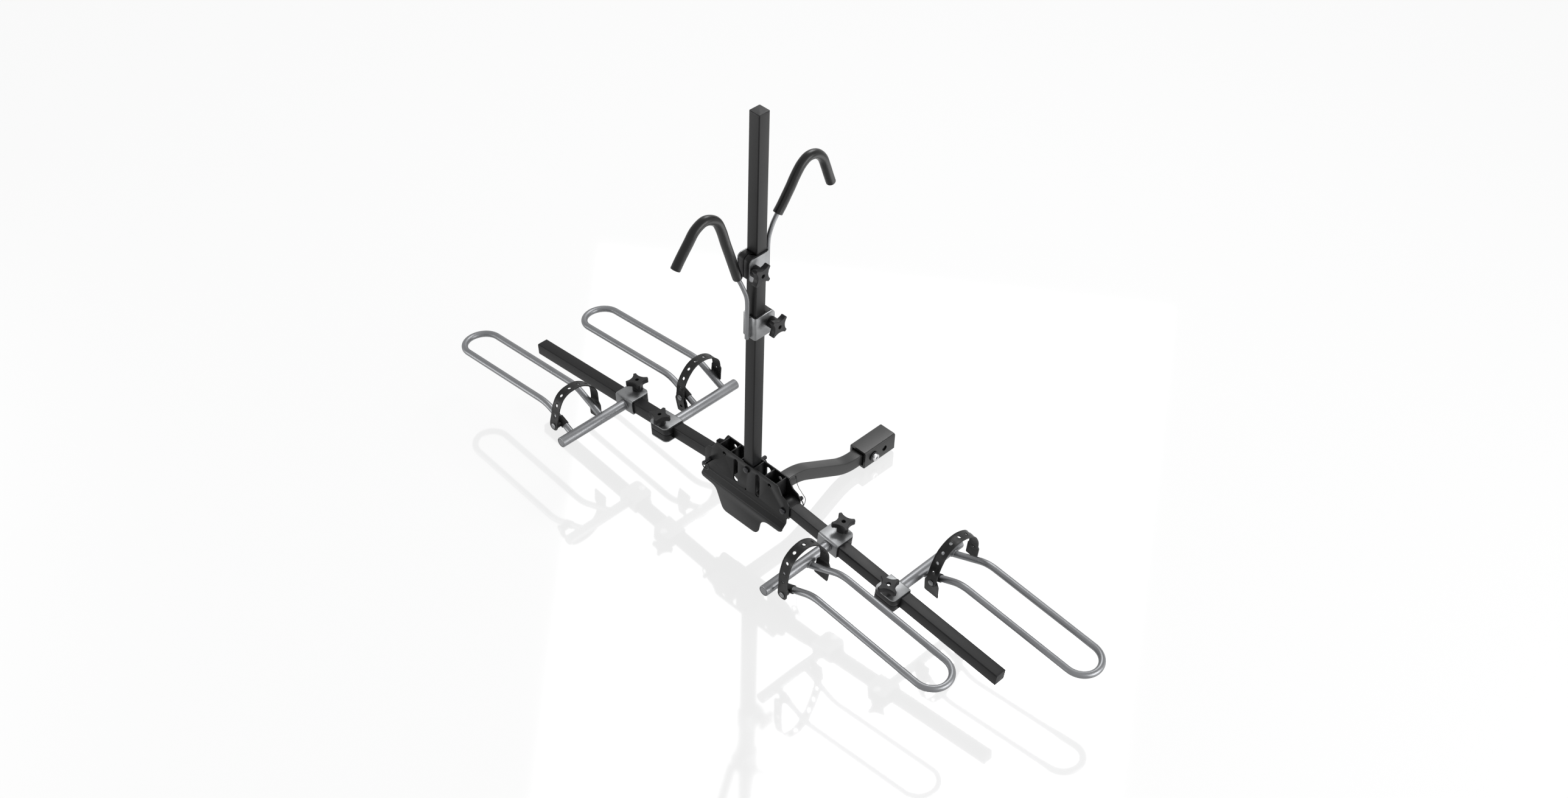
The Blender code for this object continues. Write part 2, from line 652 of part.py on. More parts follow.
def curved_sheet(sheet, path, thickness, place):
    """Bend a flat sheet along a path; the sheet's Y is the distance along it."""
    stations = [0.0]
    for start, end in zip(path, path[1:]):
        stations.append(stations[-1] + (end - start).length)
    for station in stations[1:-1]:
        bmesh.ops.bisect_plane(sheet, geom=sheet.verts[:] + sheet.edges[:] + sheet.faces[:],
                               plane_co=(0, station, 0), plane_no=(0, 1, 0), dist=1e-7)
    bmesh.ops.triangulate(sheet, faces=sheet.faces[:])
    geometry = bmesh.ops.extrude_face_region(sheet, geom=sheet.faces[:])["geom"]
    lifted = {item for item in geometry if isinstance(item, bmesh.types.BMVert)}
    for vert in sheet.verts:
        flat = vert.co.copy()
        spot, normal = along_path(path, stations, flat.y)
        spot = spot + normal * (thickness / 2 if vert in lifted else -thickness / 2)
        vert.co = place(flat.x, spot.x, spot.y)
    return sheet


def along_path(path, stations, distance):
    """Point at a distance along a plane path, and the path's normal there."""
    index = 0
    while index < len(path) - 2 and stations[index + 1] <= distance:
        index += 1
    length = stations[index + 1] - stations[index]
    share = (distance - stations[index]) / length
    spot = path[index].lerp(path[index + 1], share)
    before = tangent_at(path, index)
    after = tangent_at(path, index + 1)
    tangent = before.lerp(after, min(max(share, 0.0), 1.0)).normalized()
    return spot, Vector((-tangent.y, tangent.x))


def tangent_at(path, index):
    """Direction of a path at one of its points."""
    start = path[max(index - 1, 0)]
    end = path[min(index + 1, len(path) - 1)]
    return (end - start).normalized()


def smooth_path(points, pieces=3):
    """Catmull-Rom curve through the points."""
    spots = [Vector(point) for point in points]
    ends = [spots[0] * 2 - spots[1]] + spots + [spots[-1] * 2 - spots[-2]]
    curve = [spots[0]]
    for a, b, c, d in zip(ends, ends[1:], ends[2:], ends[3:]):
        for step in range(1, pieces + 1):
            t = step / pieces
            curve.append(0.5 * (2 * b + (c - a) * t + (2 * a - 5 * b + 4 * c - d) * t ** 2
                                + (3 * b - a - 3 * c + d) * t ** 3))
    return curve


def build_arm(label, side, pivot):
    """Arm tube, the knuckle it turns on and its end cap, in the arm's frame."""
    def place(a, b, along):
        return Vector((side * along, a, b + ARM_RISE))

    arc = [(KNUCKLE_RADIUS * math.cos(turn), KNUCKLE_RADIUS * math.sin(turn))
           for turn in (math.radians(degrees) for degrees in range(55, 181, 12))]
    shoulder_x = ARM_START - GAP
    outline = [(KNUCKLE_STOP, -9 * MM), (KNUCKLE_STOP, KNUCKLE_FOOT), (shoulder_x, KNUCKLE_FOOT),
               (shoulder_x, math.sqrt(KNUCKLE_RADIUS ** 2 - shoulder_x ** 2))] + arc
    knuckle = prism(outline, -KNUCKLE_HALF_WIDTH, KNUCKLE_HALF_WIDTH,
                    lambda x, z, y: Vector((side * x, y, z)), [circle(0, 0, PIN_HOLE / 2)])
    finish(f"{label}_arm_knuckle", knuckle, MATERIALS["powder coat"], pivot)
    square_tube(f"{label}_arm", TUBE / 2, TUBE_WALL, ARM_START, ARM_END, place,
                MATERIALS["powder coat"], pivot)
    end_cap(f"{label}_arm_plug", ARM_END, place, pivot)


def build_clamp(label, parent, place, angle):
    """Steel bracket, plastic liner and knob that grip a square tube.

    place(t, r, n): t runs along the tube, r to the open side, n to the knob.
    """
    half = CLAMP_LENGTH / 2
    middle = CLAMP_INNER + CLAMP_PLATE / 2
    flange = CLAMP_REACH + middle
    bend = middle
    straight = 2 * CLAMP_BEND - CLAMP_BEND * math.pi / 2
    low = -(flange + middle - straight)
    high = -low
    corner = CLAMP_CORNER
    outline = rounded_outline([(half, high, corner), (-half, high, corner), (-half, low, corner),
                               (half, low, corner)], math.radians(23))
    bolt_y = high - (CLAMP_REACH - BOLT_OFFSET)
    holes = [circle(0, bolt_y, BOLT_HOLE / 2, 14), circle(0, -bolt_y, BOLT_HOLE / 2, 14)]
    station = middle - straight / 2
    bends = [(value - high, math.pi / 2, CLAMP_BEND) for value in (station, -station)]

    def fold_place(t, x, y):
        """The folded line starts at the open end of the knob's flange."""
        return place(t, CLAMP_REACH + y, middle + x)

    sheet = flat_sheet(outline, holes)
    for vert in sheet.verts:
        vert.co.y -= high
    bracket = fold_sheet(sheet, bends, CLAMP_PLATE, fold_place, 3)
    finish(f"{label}_clamp_bracket", bracket, MATERIALS["steel"], parent)

    skin = CLAMP_INNER - GAP
    inner = skin - LINER_SKIN
    slit = LINER_SLIT / 2
    outline = rounded_outline([(-skin, -skin, 2.4 * MM), (LINER_REACH, -skin, 0),
                               (LINER_REACH, -slit, 0), (inner, -slit, 0), (inner, -inner, 0),
                               (-inner, -inner, 0), (-inner, inner, 0), (inner, inner, 0),
                               (inner, slit, 0), (LINER_REACH, slit, 0), (LINER_REACH, skin, 0),
                               (-skin, skin, 2.4 * MM)], math.radians(45))
    reach = LINER_LENGTH / 2
    liner = prism(outline, -reach, reach, lambda r, n, t: place(t, r, n))
    liner = finish(f"{label}_clamp_liner", liner, MATERIALS["black plastic"], parent, smooth=False)
    for kind, outline in (("hole", circle(0, BOLT_OFFSET, BOLT_HOLE / 2, 14)),
                          ("near_corner", outside_corner(reach, LINER_REACH, 1)),
                          ("far_corner", outside_corner(reach, LINER_REACH, -1))):
        tool = prism(outline, -skin * 2, skin * 2, place)
        cut(liner, cutter(f"{label}_liner_{kind}", tool, parent))
    build_knob(label, parent, place, angle)


def outside_corner(x, y, side):
    """Outline of what lies outside one rounded corner of the liner."""
    radius = CLAMP_CORNER
    past = 2 * MM
    points = [(side * (x + past), y - radius), (side * (x + past), y + past),
              (side * (x - radius), y + past)]
    for degrees in range(90, -1, -15):
        turn = math.radians(degrees)
        points.append((side * (x - radius + radius * math.cos(turn)),
                       y - radius + radius * math.sin(turn)))
    return points


def knob_ring(scale_radius, turn):
    """Radius of the star knob's edge in one direction."""
    tip = math.atan2(KNOB_TIP, KNOB_RADIUS)
    local = (turn + tip) % (math.pi / 2) - tip
    if local <= tip:
        radius = KNOB_RADIUS / math.cos(local)
    else:
        top = KNOB_RADIUS ** 2 + KNOB_TIP ** 2 - KNOB_WAIST ** 2
        centre = top / (math.sqrt(2) * (KNOB_RADIUS + KNOB_TIP) - 2 * KNOB_WAIST)
        hollow = centre - KNOB_WAIST
        offset = local - math.pi / 4
        radius = centre * math.cos(offset) - math.sqrt(hollow ** 2 - (centre * math.sin(offset)) ** 2)
    return radius + scale_radius


def build_knob(label, parent, place, angle):
    """Star knob with its bolt; the origin is on the bolt's axis."""
    tip = math.degrees(math.atan2(KNOB_TIP, KNOB_RADIUS))
    offsets = (-tip, tip, 20, 33, 45, 57, 70)
    turns = [math.radians(90 * quarter + offset) for quarter in range(4) for offset in offsets]
    face = CLAMP_INNER + CLAMP_PLATE + GAP
    base = face + KNOB_RISE - KNOB_HEAD
    top = face + KNOB_RISE
    rings = [(BOLT_HEAD - 1.5 * MM, -face - 3.4 * MM), (BOLT_HEAD, -face - 2 * MM),
             (BOLT_HEAD, -face), (BOLT / 2, -face), (BOLT / 2, face), (KNOB_HUB, face),
             (KNOB_HUB, base), (-1.6 * MM, base), (0, base + 1.4 * MM), (0, top - 1.8 * MM),
             (-2.0 * MM, top), (KNOB_SOCKET, top), (KNOB_SOCKET, top - 6 * MM)]
    stars = {7, 8, 9, 10}
    axis = place(0, BOLT_OFFSET, 0)
    solid = bmesh.new()
    loops = []
    for index, (radius, depth) in enumerate(rings):
        loop = []
        for turn in turns:
            reach = knob_ring(radius, turn) if index in stars else radius
            heading = turn + math.radians(angle)
            spot = place(reach * math.cos(heading), BOLT_OFFSET + reach * math.sin(heading), depth)
            loop.append(solid.verts.new(spot - axis))
        loops.append(loop)
    for low, high in zip(loops, loops[1:]):
        for index in range(len(low)):
            solid.faces.new((low[index - 1], low[index], high[index], high[index - 1]))
    solid.faces.new(loops[0])
    solid.faces.new(loops[-1])
    knob = finish(f"{label}_clamp_knob", solid, MATERIALS["black plastic"], parent)
    knob.location = axis


def build_holder(name, pivot):
    """One wheel holder: cross tube, wire loop, clamp and rubber strap."""
    side, fore, station, offset, angle = HOLDERS[name]

    def place(along, v, w):
        return Vector((side * (station + along), v, w + ARM_RISE))

    def clamp_place(t, r, n):
        return place(t, -fore * r, n)

    build_clamp(name, pivot, clamp_place, angle)
    radius = CROSS_TUBE / 2
    bore = radius - CROSS_TUBE_WALL
    start = CLAMP_INNER + CLAMP_PLATE + GAP
    end = CROSS_TUBE_END
    profile = [(bore, end - 3 * MM), (bore, start), (radius, start), (radius, end - 1.2 * MM),
               (radius - 1.2 * MM, end)]
    tube = turned(profile, lambda a, b, v: place(a, fore * v, b - CROSS_TUBE_DROP), 20)
    finish(f"{name}_cross_tube", tube, MATERIALS["steel"], pivot)

    centre = fore * offset
    half = LOOP_HALF_SPACING
    path = rounded_path([(place(0, centre - half, LOOP_FOOT), 0),
                         (place(LOOP_KINK, centre - half, LOOP_LEVEL), LOOP_KINK_RADIUS),
                         (place(LOOP_CENTRE, centre - half, LOOP_LEVEL), 0)], math.radians(6))
    back = rounded_path([(place(0, centre + half, LOOP_FOOT), 0),
                         (place(LOOP_KINK, centre + half, LOOP_LEVEL), LOOP_KINK_RADIUS),
                         (place(LOOP_CENTRE, centre + half, LOOP_LEVEL), 0)], math.radians(6))
    for index in range(1, 16):
        turn = math.pi * index / 16
        path.append(place(LOOP_CENTRE + half * math.sin(turn), centre - half * math.cos(turn),
                          LOOP_LEVEL))
    loop = finish(f"{name}_wheel_loop", rod_mesh(path + back[::-1], LOOP_ROD / 2, 10),
                  MATERIALS["steel"], pivot)
    cope = turned([(radius + GAP, -LOOP_COPE_REACH), (radius + GAP, LOOP_COPE_REACH)],
                  lambda a, b, v: place(a, centre + v, b - CROSS_TUBE_DROP), 32)
    cut(loop, cutter(f"{name}_cope", cope, pivot))
    build_strap(name, pivot, place, fore, centre)


def build_strap(name, pivot, place, fore, centre):
    """Rubber strap that arches over the loop, with its holes and wide end."""
    path = smooth_path([(v * MM, w * MM) for v, w in STRAP_PATHS[name]], 1)
    length = sum((end - start).length for start, end in zip(path, path[1:]))
    narrow = STRAP_WIDTH / 2
    wide = STRAP_TAB_WIDTH / 2
    tab = STRAP_TAB_LENGTH
    tongue = STRAP_TONGUE_CORNER
    if fore < 0:
        half = [(narrow, 0, tongue), (narrow, length - tab, 6 * MM),
                (wide, length - tab + STRAP_TAB_TAPER, 4 * MM), (wide, length, 3 * MM)]
    else:
        foot = STRAP_FOOT_WIDTH / 2
        start = length - STRAP_FOOT_LENGTH
        half = [(wide, 0, 3 * MM), (wide, tab - STRAP_TAB_TAPER, 4 * MM), (narrow, tab, 6 * MM),
                (narrow, start - STRAP_TAB_TAPER, 5 * MM), (foot, start, 4 * MM),
                (foot, length, 3 * MM)]
    outline = rounded_outline(half + [(-x, y, radius) for x, y, radius in half[::-1]])
    holes = []
    station = STRAP_FIRST_HOLE[fore]
    while station < length - STRAP_LAST_HOLE:
        holes.append(circle(0, station, STRAP_HOLE / 2, 8))
        station += STRAP_HOLE_PITCH
    sheet = flat_sheet(outline, holes)
    along = STRAP_OFFSETS[name]
    strap = curved_sheet(sheet, path, STRAP_THICKNESS,
                         lambda across, v, w: place(along + across, centre + v, w))
    strap = finish(f"{name}_strap", strap, MATERIALS["rubber"], pivot)
    hang_strap(name, strap, pivot, place, centre - LOOP_HALF_SPACING, path)


def hang_strap(name, strap, pivot, place, rail, path):
    """Give the strap the loop and neck that hold it on the front rail."""
    slope = math.atan2(LOOP_LEVEL - LOOP_FOOT, LOOP_KINK)
    along = STRAP_OFFSETS[name]
    height = along * math.tan(slope) + LOOP_FOOT

    def rail_place(up, across, distance):
        ahead = along + distance * math.cos(slope) - up * math.sin(slope)
        return place(ahead, rail + across, height + distance * math.sin(slope) + up * math.cos(slope))

    half = STRAP_LOOP_LENGTH / 2
    sides = STRAP_LOOP_SIDES
    loop = turned([(STRAP_LOOP / 2, -half), (STRAP_LOOP / 2, half)], rail_place, sides)
    cut(strap, cutter(f"{name}_rail_loop", loop, pivot), "UNION")
    reach = next(start.lerp(end, (height - start.y) / (end.y - start.y)).x
                 for start, end in zip(path, path[1:]) if start.y <= height <= end.y)
    inner = -LOOP_ROD / 4
    outer = reach + LOOP_HALF_SPACING + GAP
    length, depth = STRAP_NECK
    outline = [(-length / 2, inner), (length / 2, inner), (length / 2, outer), (-length / 2, outer)]
    neck = prism(outline, -depth / 2, depth / 2,
                 lambda x, y, z: place(along + x, rail + y, height + z))
    cut(strap, cutter(f"{name}_neck", neck, pivot), "UNION")
    radius = (LOOP_ROD / 2 + GAP) / math.cos(math.pi / sides)
    bore = turned([(radius, -STRAP_LOOP_LENGTH), (radius, STRAP_LOOP_LENGTH)], rail_place, sides)
    cut(strap, cutter(f"{name}_rail_bore", bore, pivot))


def build_hook(label, x, clamp_z, toward, angle, points):
    """Clamp on the mast with its hook rod and the foam sleeve on it."""
    holder = empty(f"{label}_hook_place", (0, 0, clamp_z))

    def clamp_place(t, r, n):
        return Vector((n, -toward * r, t))

    build_clamp(f"{label}_hook", holder, clamp_place, angle)
    base = Vector((0, 0, clamp_z))
    path = [Vector((x, y * MM, z * MM)) - base for y, z in smooth_path(points, HOOK_PATH_PIECES)]
    end = path[-1] + (path[-2] - path[-1]).normalized() * HOOK_ROD_SETBACK
    rod = rod_mesh(path[:-1] + [end], HOOK_ROD / 2, 8)
    finish(f"{label}_hook_rod", rod, MATERIALS["steel"], holder)
    covered = path[FOAM_START * HOOK_PATH_PIECES:]
    foam = swept_tube(covered, circle(0, 0, FOAM / 2, 12), circle(0, 0, HOOK_ROD / 2 + GAP, 12))
    finish(f"{label}_hook_foam", foam, MATERIALS["foam"], holder)


def build_tether():
    """Thin wire from the hitch bar, round the bracket's shoulder, to the right pin's ring."""
    wire = rod_mesh(smooth_path([Vector(spot) * MM for spot in TETHER], 3), TETHER_WIRE / 2, 6)
    finish("pin_tether", wire, MATERIALS["steel"])


MATERIALS = {}
ORIGIN = Vector((0, SLEEVE_PIN_Y, SLEEVE_CENTRE_Z + SLEEVE / 2))


def main():
    """Clear the scene and build every piece."""
    for item in list(bpy.data.objects):
        bpy.data.objects.remove(item)
    MATERIALS.update(make_materials())
    build_bracket()
    build_hitch()
    build_mast()
    build_pins()
    build_tether()
    pivots = {}
    for label, side in (("right", 1), ("left", -1)):
        place = (side * ARM_PIN.x, 0, ARM_PIN.z)
        pivots[side] = empty(f"{label}_arm_pivot", place, (0, side * ARM_DROOP, 0))
        build_arm(label, side, pivots[side])
    for name, (side, *_) in HOLDERS.items():
        build_holder(name, pivots[side])
    build_hook("front", FRONT_HOOK_X, LOWER_CLAMP_Z, -1, HOOK_KNOB_TURN, FRONT_HOOK)
    build_hook("rear", REAR_HOOK_X, UPPER_CLAMP_Z, 1, HOOK_KNOB_TURN, REAR_HOOK)
    for piece in bpy.data.objects:
        if piece.parent is None:
            piece.location -= ORIGIN


main()
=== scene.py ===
"""Looks of a hitch bike rack: its finishes, its fine shapes, the light and the camera.

Meshes are shaped in millimetres and then placed in metres. The sizes are measured from the
mast's axis at the height where the arms leave the bracket, with +X along the right arm, +Y
towards the vehicle and +Z up; ORIGIN takes them to the frame's own origin.
"""

import logging
import math
from dataclasses import dataclass, field
from enum import Enum
from typing import Callable, Iterable, Sequence

import bmesh
import bpy
from mathutils import Matrix, Vector


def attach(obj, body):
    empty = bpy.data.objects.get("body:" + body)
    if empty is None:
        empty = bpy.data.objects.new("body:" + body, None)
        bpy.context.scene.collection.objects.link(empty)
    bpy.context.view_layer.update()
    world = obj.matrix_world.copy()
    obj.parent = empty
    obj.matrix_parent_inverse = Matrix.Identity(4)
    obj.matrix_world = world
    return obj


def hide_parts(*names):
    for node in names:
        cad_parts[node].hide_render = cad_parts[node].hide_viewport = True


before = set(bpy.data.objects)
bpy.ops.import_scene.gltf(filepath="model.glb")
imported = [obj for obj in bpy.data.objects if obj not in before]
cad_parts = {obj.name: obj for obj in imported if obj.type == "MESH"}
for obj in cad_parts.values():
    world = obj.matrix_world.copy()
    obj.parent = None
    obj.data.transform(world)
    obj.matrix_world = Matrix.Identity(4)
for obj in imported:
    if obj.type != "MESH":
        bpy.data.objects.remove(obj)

LOG = logging.getLogger("rack")
MM = 0.001
ORIGIN = Vector((0.0, 431.0, -141.6))
TO_ROW = Matrix.Scale(MM, 4) @ Matrix.Translation(-ORIGIN)
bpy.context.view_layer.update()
ALONG_X = Matrix.Rotation(math.radians(90), 4, "Y")
# Clearance between neighbouring pieces, in millimetres.
GAP = 0.3
# Vertices nearer than this are one, in millimetres.
MERGE = 1e-3
# Spans between two listed points of a curve.
CURVE_PIECES = 8
# Where the lock pins go through the bracket (x, z), and the radius of their holes.
ARM_PIN = (118.0, -8.0)
MAST_PIN = (0.0, 38.0)
PIN_BORE = 5.4

# Corners of a closed flat line, in millimetres.
Outline = list[tuple[float, float]]


class Slot(Enum):
    """Material slots that the finishes belong to."""

    POWDER = "powder_coat"
    STEEL = "steel"
    ZINC = "zinc"
    PLASTIC = "black_plastic"
    RUBBER = "rubber"
    FOAM = "foam"


class Side(Enum):
    """Which arm a piece is on, as the sign of its X."""

    LEFT = -1
    RIGHT = 1


class Facing(Enum):
    """Which way a piece looks, as the sign of its Y: the rear looks to the vehicle."""

    FRONT = -1
    REAR = 1


def linear(code: str) -> tuple[float, float, float, float]:
    """Turn an sRGB hex colour into linear values.

    Args:
        code: the colour as #rrggbb.

    Returns:
        Red, green, blue and an alpha of 1.
    """
    values = [int(code[start:start + 2], 16) / 255 for start in (1, 3, 5)]
    red, green, blue = (value / 12.92 if value <= 0.04045 else ((value + 0.055) / 1.055) ** 2.4
                        for value in values)
    return red, green, blue, 1.0


def per_metre(size: float) -> float:
    """Scale of a noise whose grains are this many millimetres apart."""
    return 1.0 / (size * MM)


def add_node(tree: bpy.types.NodeTree, kind: str, fields: dict | None = None,
             values: dict | None = None, links: dict | None = None) -> bpy.types.Node:
    """Add a shader node with its settings and its incoming links.

    Args:
        tree: the material's or the world's node tree.
        kind: the node's Blender type.
        fields: the node's own settings.
        values: constants for its input sockets.
        links: output sockets that feed its input sockets.

    Returns:
        The new node.
    """
    node = tree.nodes.new(kind)
    for name, value in (fields or {}).items():
        setattr(node, name, value)
    for socket, value in (values or {}).items():
        node.inputs[socket].default_value = value
    for socket, source in (links or {}).items():
        tree.links.new(source, node.inputs[socket])
    return node


@dataclass(frozen=True)
class Finish:
    """A finish with a slightly uneven colour, an uneven gloss and a fine grain.

    The grain's width and depth and the width of the uneven patches are in millimetres.
    """

    name: str
    slot: Slot
    colour: str
    light_colour: str
    roughness: tuple[float, float]
    grain: float
    grain_depth: float
    patch: float
    metallic: float = 0.0
    ior: float = 1.5
    specular: float = 0.5

    def material(self) -> bpy.types.Material:
        """Make the material, or give the one already made.

        Returns:
            The finish as a node material.
        """
        made = bpy.data.materials.get(self.name)
        if made:
            return made
        made = bpy.data.materials.new(self.name)
        made.use_nodes = True
        tree = made.node_tree
        tree.nodes.clear()
        place = add_node(tree, "ShaderNodeTexCoord").outputs["Object"]
        patches = add_node(tree, "ShaderNodeTexNoise",
                           values={"Scale": per_metre(self.patch), "Detail": 3.0,
                                   "Roughness": 0.55}, links={"Vector": place}).outputs["Fac"]
        colour = add_node(tree, "ShaderNodeValToRGB", links={"Fac": patches})
        ramp = colour.color_ramp.elements
        ramp[0].position, ramp[1].position = 0.3, 0.7
        ramp[0].color, ramp[1].color = linear(self.colour), linear(self.light_colour)
        gloss = add_node(tree, "ShaderNodeMapRange",
                         values={"From Min": 0.3, "From Max": 0.7, "To Min": self.roughness[0],
                                 "To Max": self.roughness[1]}, links={"Value": patches})
        grain = self.grain_height(tree, place)
        bump = add_node(tree, "ShaderNodeBump",
                        values={"Strength": 1.0, "Distance": self.grain_depth * MM},
                        links={"Height": grain})
        shader = add_node(tree, "ShaderNodeBsdfPrincipled",
                          values={"Metallic": self.metallic, "Specular IOR Level": self.specular},
                          links={"Base Color": colour.outputs["Color"],
                                 "Roughness": gloss.outputs["Result"],
                                 "Normal": bump.outputs["Normal"]})
        if not self.metallic:
            shader.inputs["IOR"].default_value = self.ior
        add_node(tree, "ShaderNodeOutputMaterial", links={"Surface": shader.outputs["BSDF"]})
        return made

    def grain_height(self, tree: bpy.types.NodeTree,
                     place: bpy.types.NodeSocket) -> bpy.types.NodeSocket:
        """Height of the fine grain.

        Args:
            tree: the material's node tree.
            place: the Object coordinates.

        Returns:
            The socket that gives the height.
        """
        return add_node(tree, "ShaderNodeTexNoise",
                        values={"Scale": per_metre(self.grain), "Detail": 2.0, "Roughness": 0.6},
                        links={"Vector": place}).outputs["Fac"]


@dataclass(frozen=True)
class CellFinish(Finish):
    """A finish whose grain is small rounded cells, as in foam or a spark-eroded mould."""

    def grain_height(self, tree: bpy.types.NodeTree,
                     place: bpy.types.NodeSocket) -> bpy.types.NodeSocket:
        """Height of the cells.

        Args:
            tree: the material's node tree.
            place: the Object coordinates.

        Returns:
            The socket that gives the height.
        """
        return add_node(tree, "ShaderNodeTexVoronoi", fields={"feature": "SMOOTH_F1"},
                        values={"Scale": per_metre(self.grain), "Smoothness": 0.6},
                        links={"Vector": place}).outputs["Distance"]


@dataclass(frozen=True)
class RolledFinish(Finish):
    """A metal finish drawn out into fine lines along the sheet or the rod."""

    stretch: tuple[float, float, float] = (0.06, 1.0, 1.0)

    def grain_height(self, tree: bpy.types.NodeTree,
                     place: bpy.types.NodeSocket) -> bpy.types.NodeSocket:
        """Height of the drawn lines.

        Args:
            tree: the material's node tree.
            place: the Object coordinates.

        Returns:
            The socket that gives the height.
        """
        drawn = add_node(tree, "ShaderNodeMapping", values={"Scale": self.stretch},
                         links={"Vector": place}).outputs["Vector"]
        return super().grain_height(tree, drawn)


# Polyester powder baked on steel: a satin black skin with fine orange peel.
POWDER_COAT = Finish("satin_black_powder_coat", Slot.POWDER, "#171717", "#1d1d1e", (0.34, 0.42),
                     2.2, 0.03, 90.0, specular=0.16)
# The same coat on the hitch bar and its sleeve, glossier: its sides pick up the floor.
GLOSSY_COAT = Finish("glossy_black_powder_coat", Slot.POWDER, "#161616", "#1b1b1b", (0.3, 0.38),
                     2.2, 0.02, 90.0, specular=0.45)
# Silver powder coat on bent rod and tube: soft bright bands along the rod, no mirror.
SILVER_COAT = Finish("satin_silver_powder_coat", Slot.STEEL, "#747577", "#7e7f81", (0.36, 0.44),
                     1.0, 0.006, 60.0, metallic=0.8)
# Zinc plated, passivated sheet: brighter than the coat, with faint rolling lines.
PLATED_SHEET = RolledFinish("zinc_plated_sheet", Slot.STEEL, "#737475", "#808182", (0.34, 0.44),
                            0.8, 0.006, 14.0, metallic=0.85)
# Bright zinc on bolt heads: small sharp highlights.
BRIGHT_ZINC = Finish("bright_zinc_plate", Slot.ZINC, "#c2c2c4", "#d0d0d1", (0.32, 0.4),
                     0.8, 0.005, 6.0, metallic=1.0)
# Black zinc on pins, rings, the washer and the tether: dark metal that keeps a sharp glint.
BLACK_ZINC = Finish("black_zinc_plate", Slot.ZINC, "#29292b", "#38383a", (0.22, 0.32),
                    0.8, 0.008, 6.0, metallic=0.9)
# Glass filled nylon, injection moulded with a spark texture: dull black, grey where lit.
NYLON = CellFinish("moulded_black_nylon", Slot.PLASTIC, "#171718", "#1e1e1f", (0.42, 0.52),
                   0.9, 0.02, 12.0, specular=0.2)
# Moulded EPDM rubber: a soft satin black, with a faint dusty bloom in patches.
RUBBER = Finish("moulded_black_rubber", Slot.RUBBER, "#101010", "#1b1b1b", (0.36, 0.5),
                0.8, 0.02, 9.0, specular=0.22)
# Closed-cell foam sleeve with its extruded skin: soft black with fine pores.
FOAM = CellFinish("closed_cell_foam", Slot.FOAM, "#0b0b0b", "#131313", (0.3, 0.38),
                  0.7, 0.03, 20.0, specular=0.3)


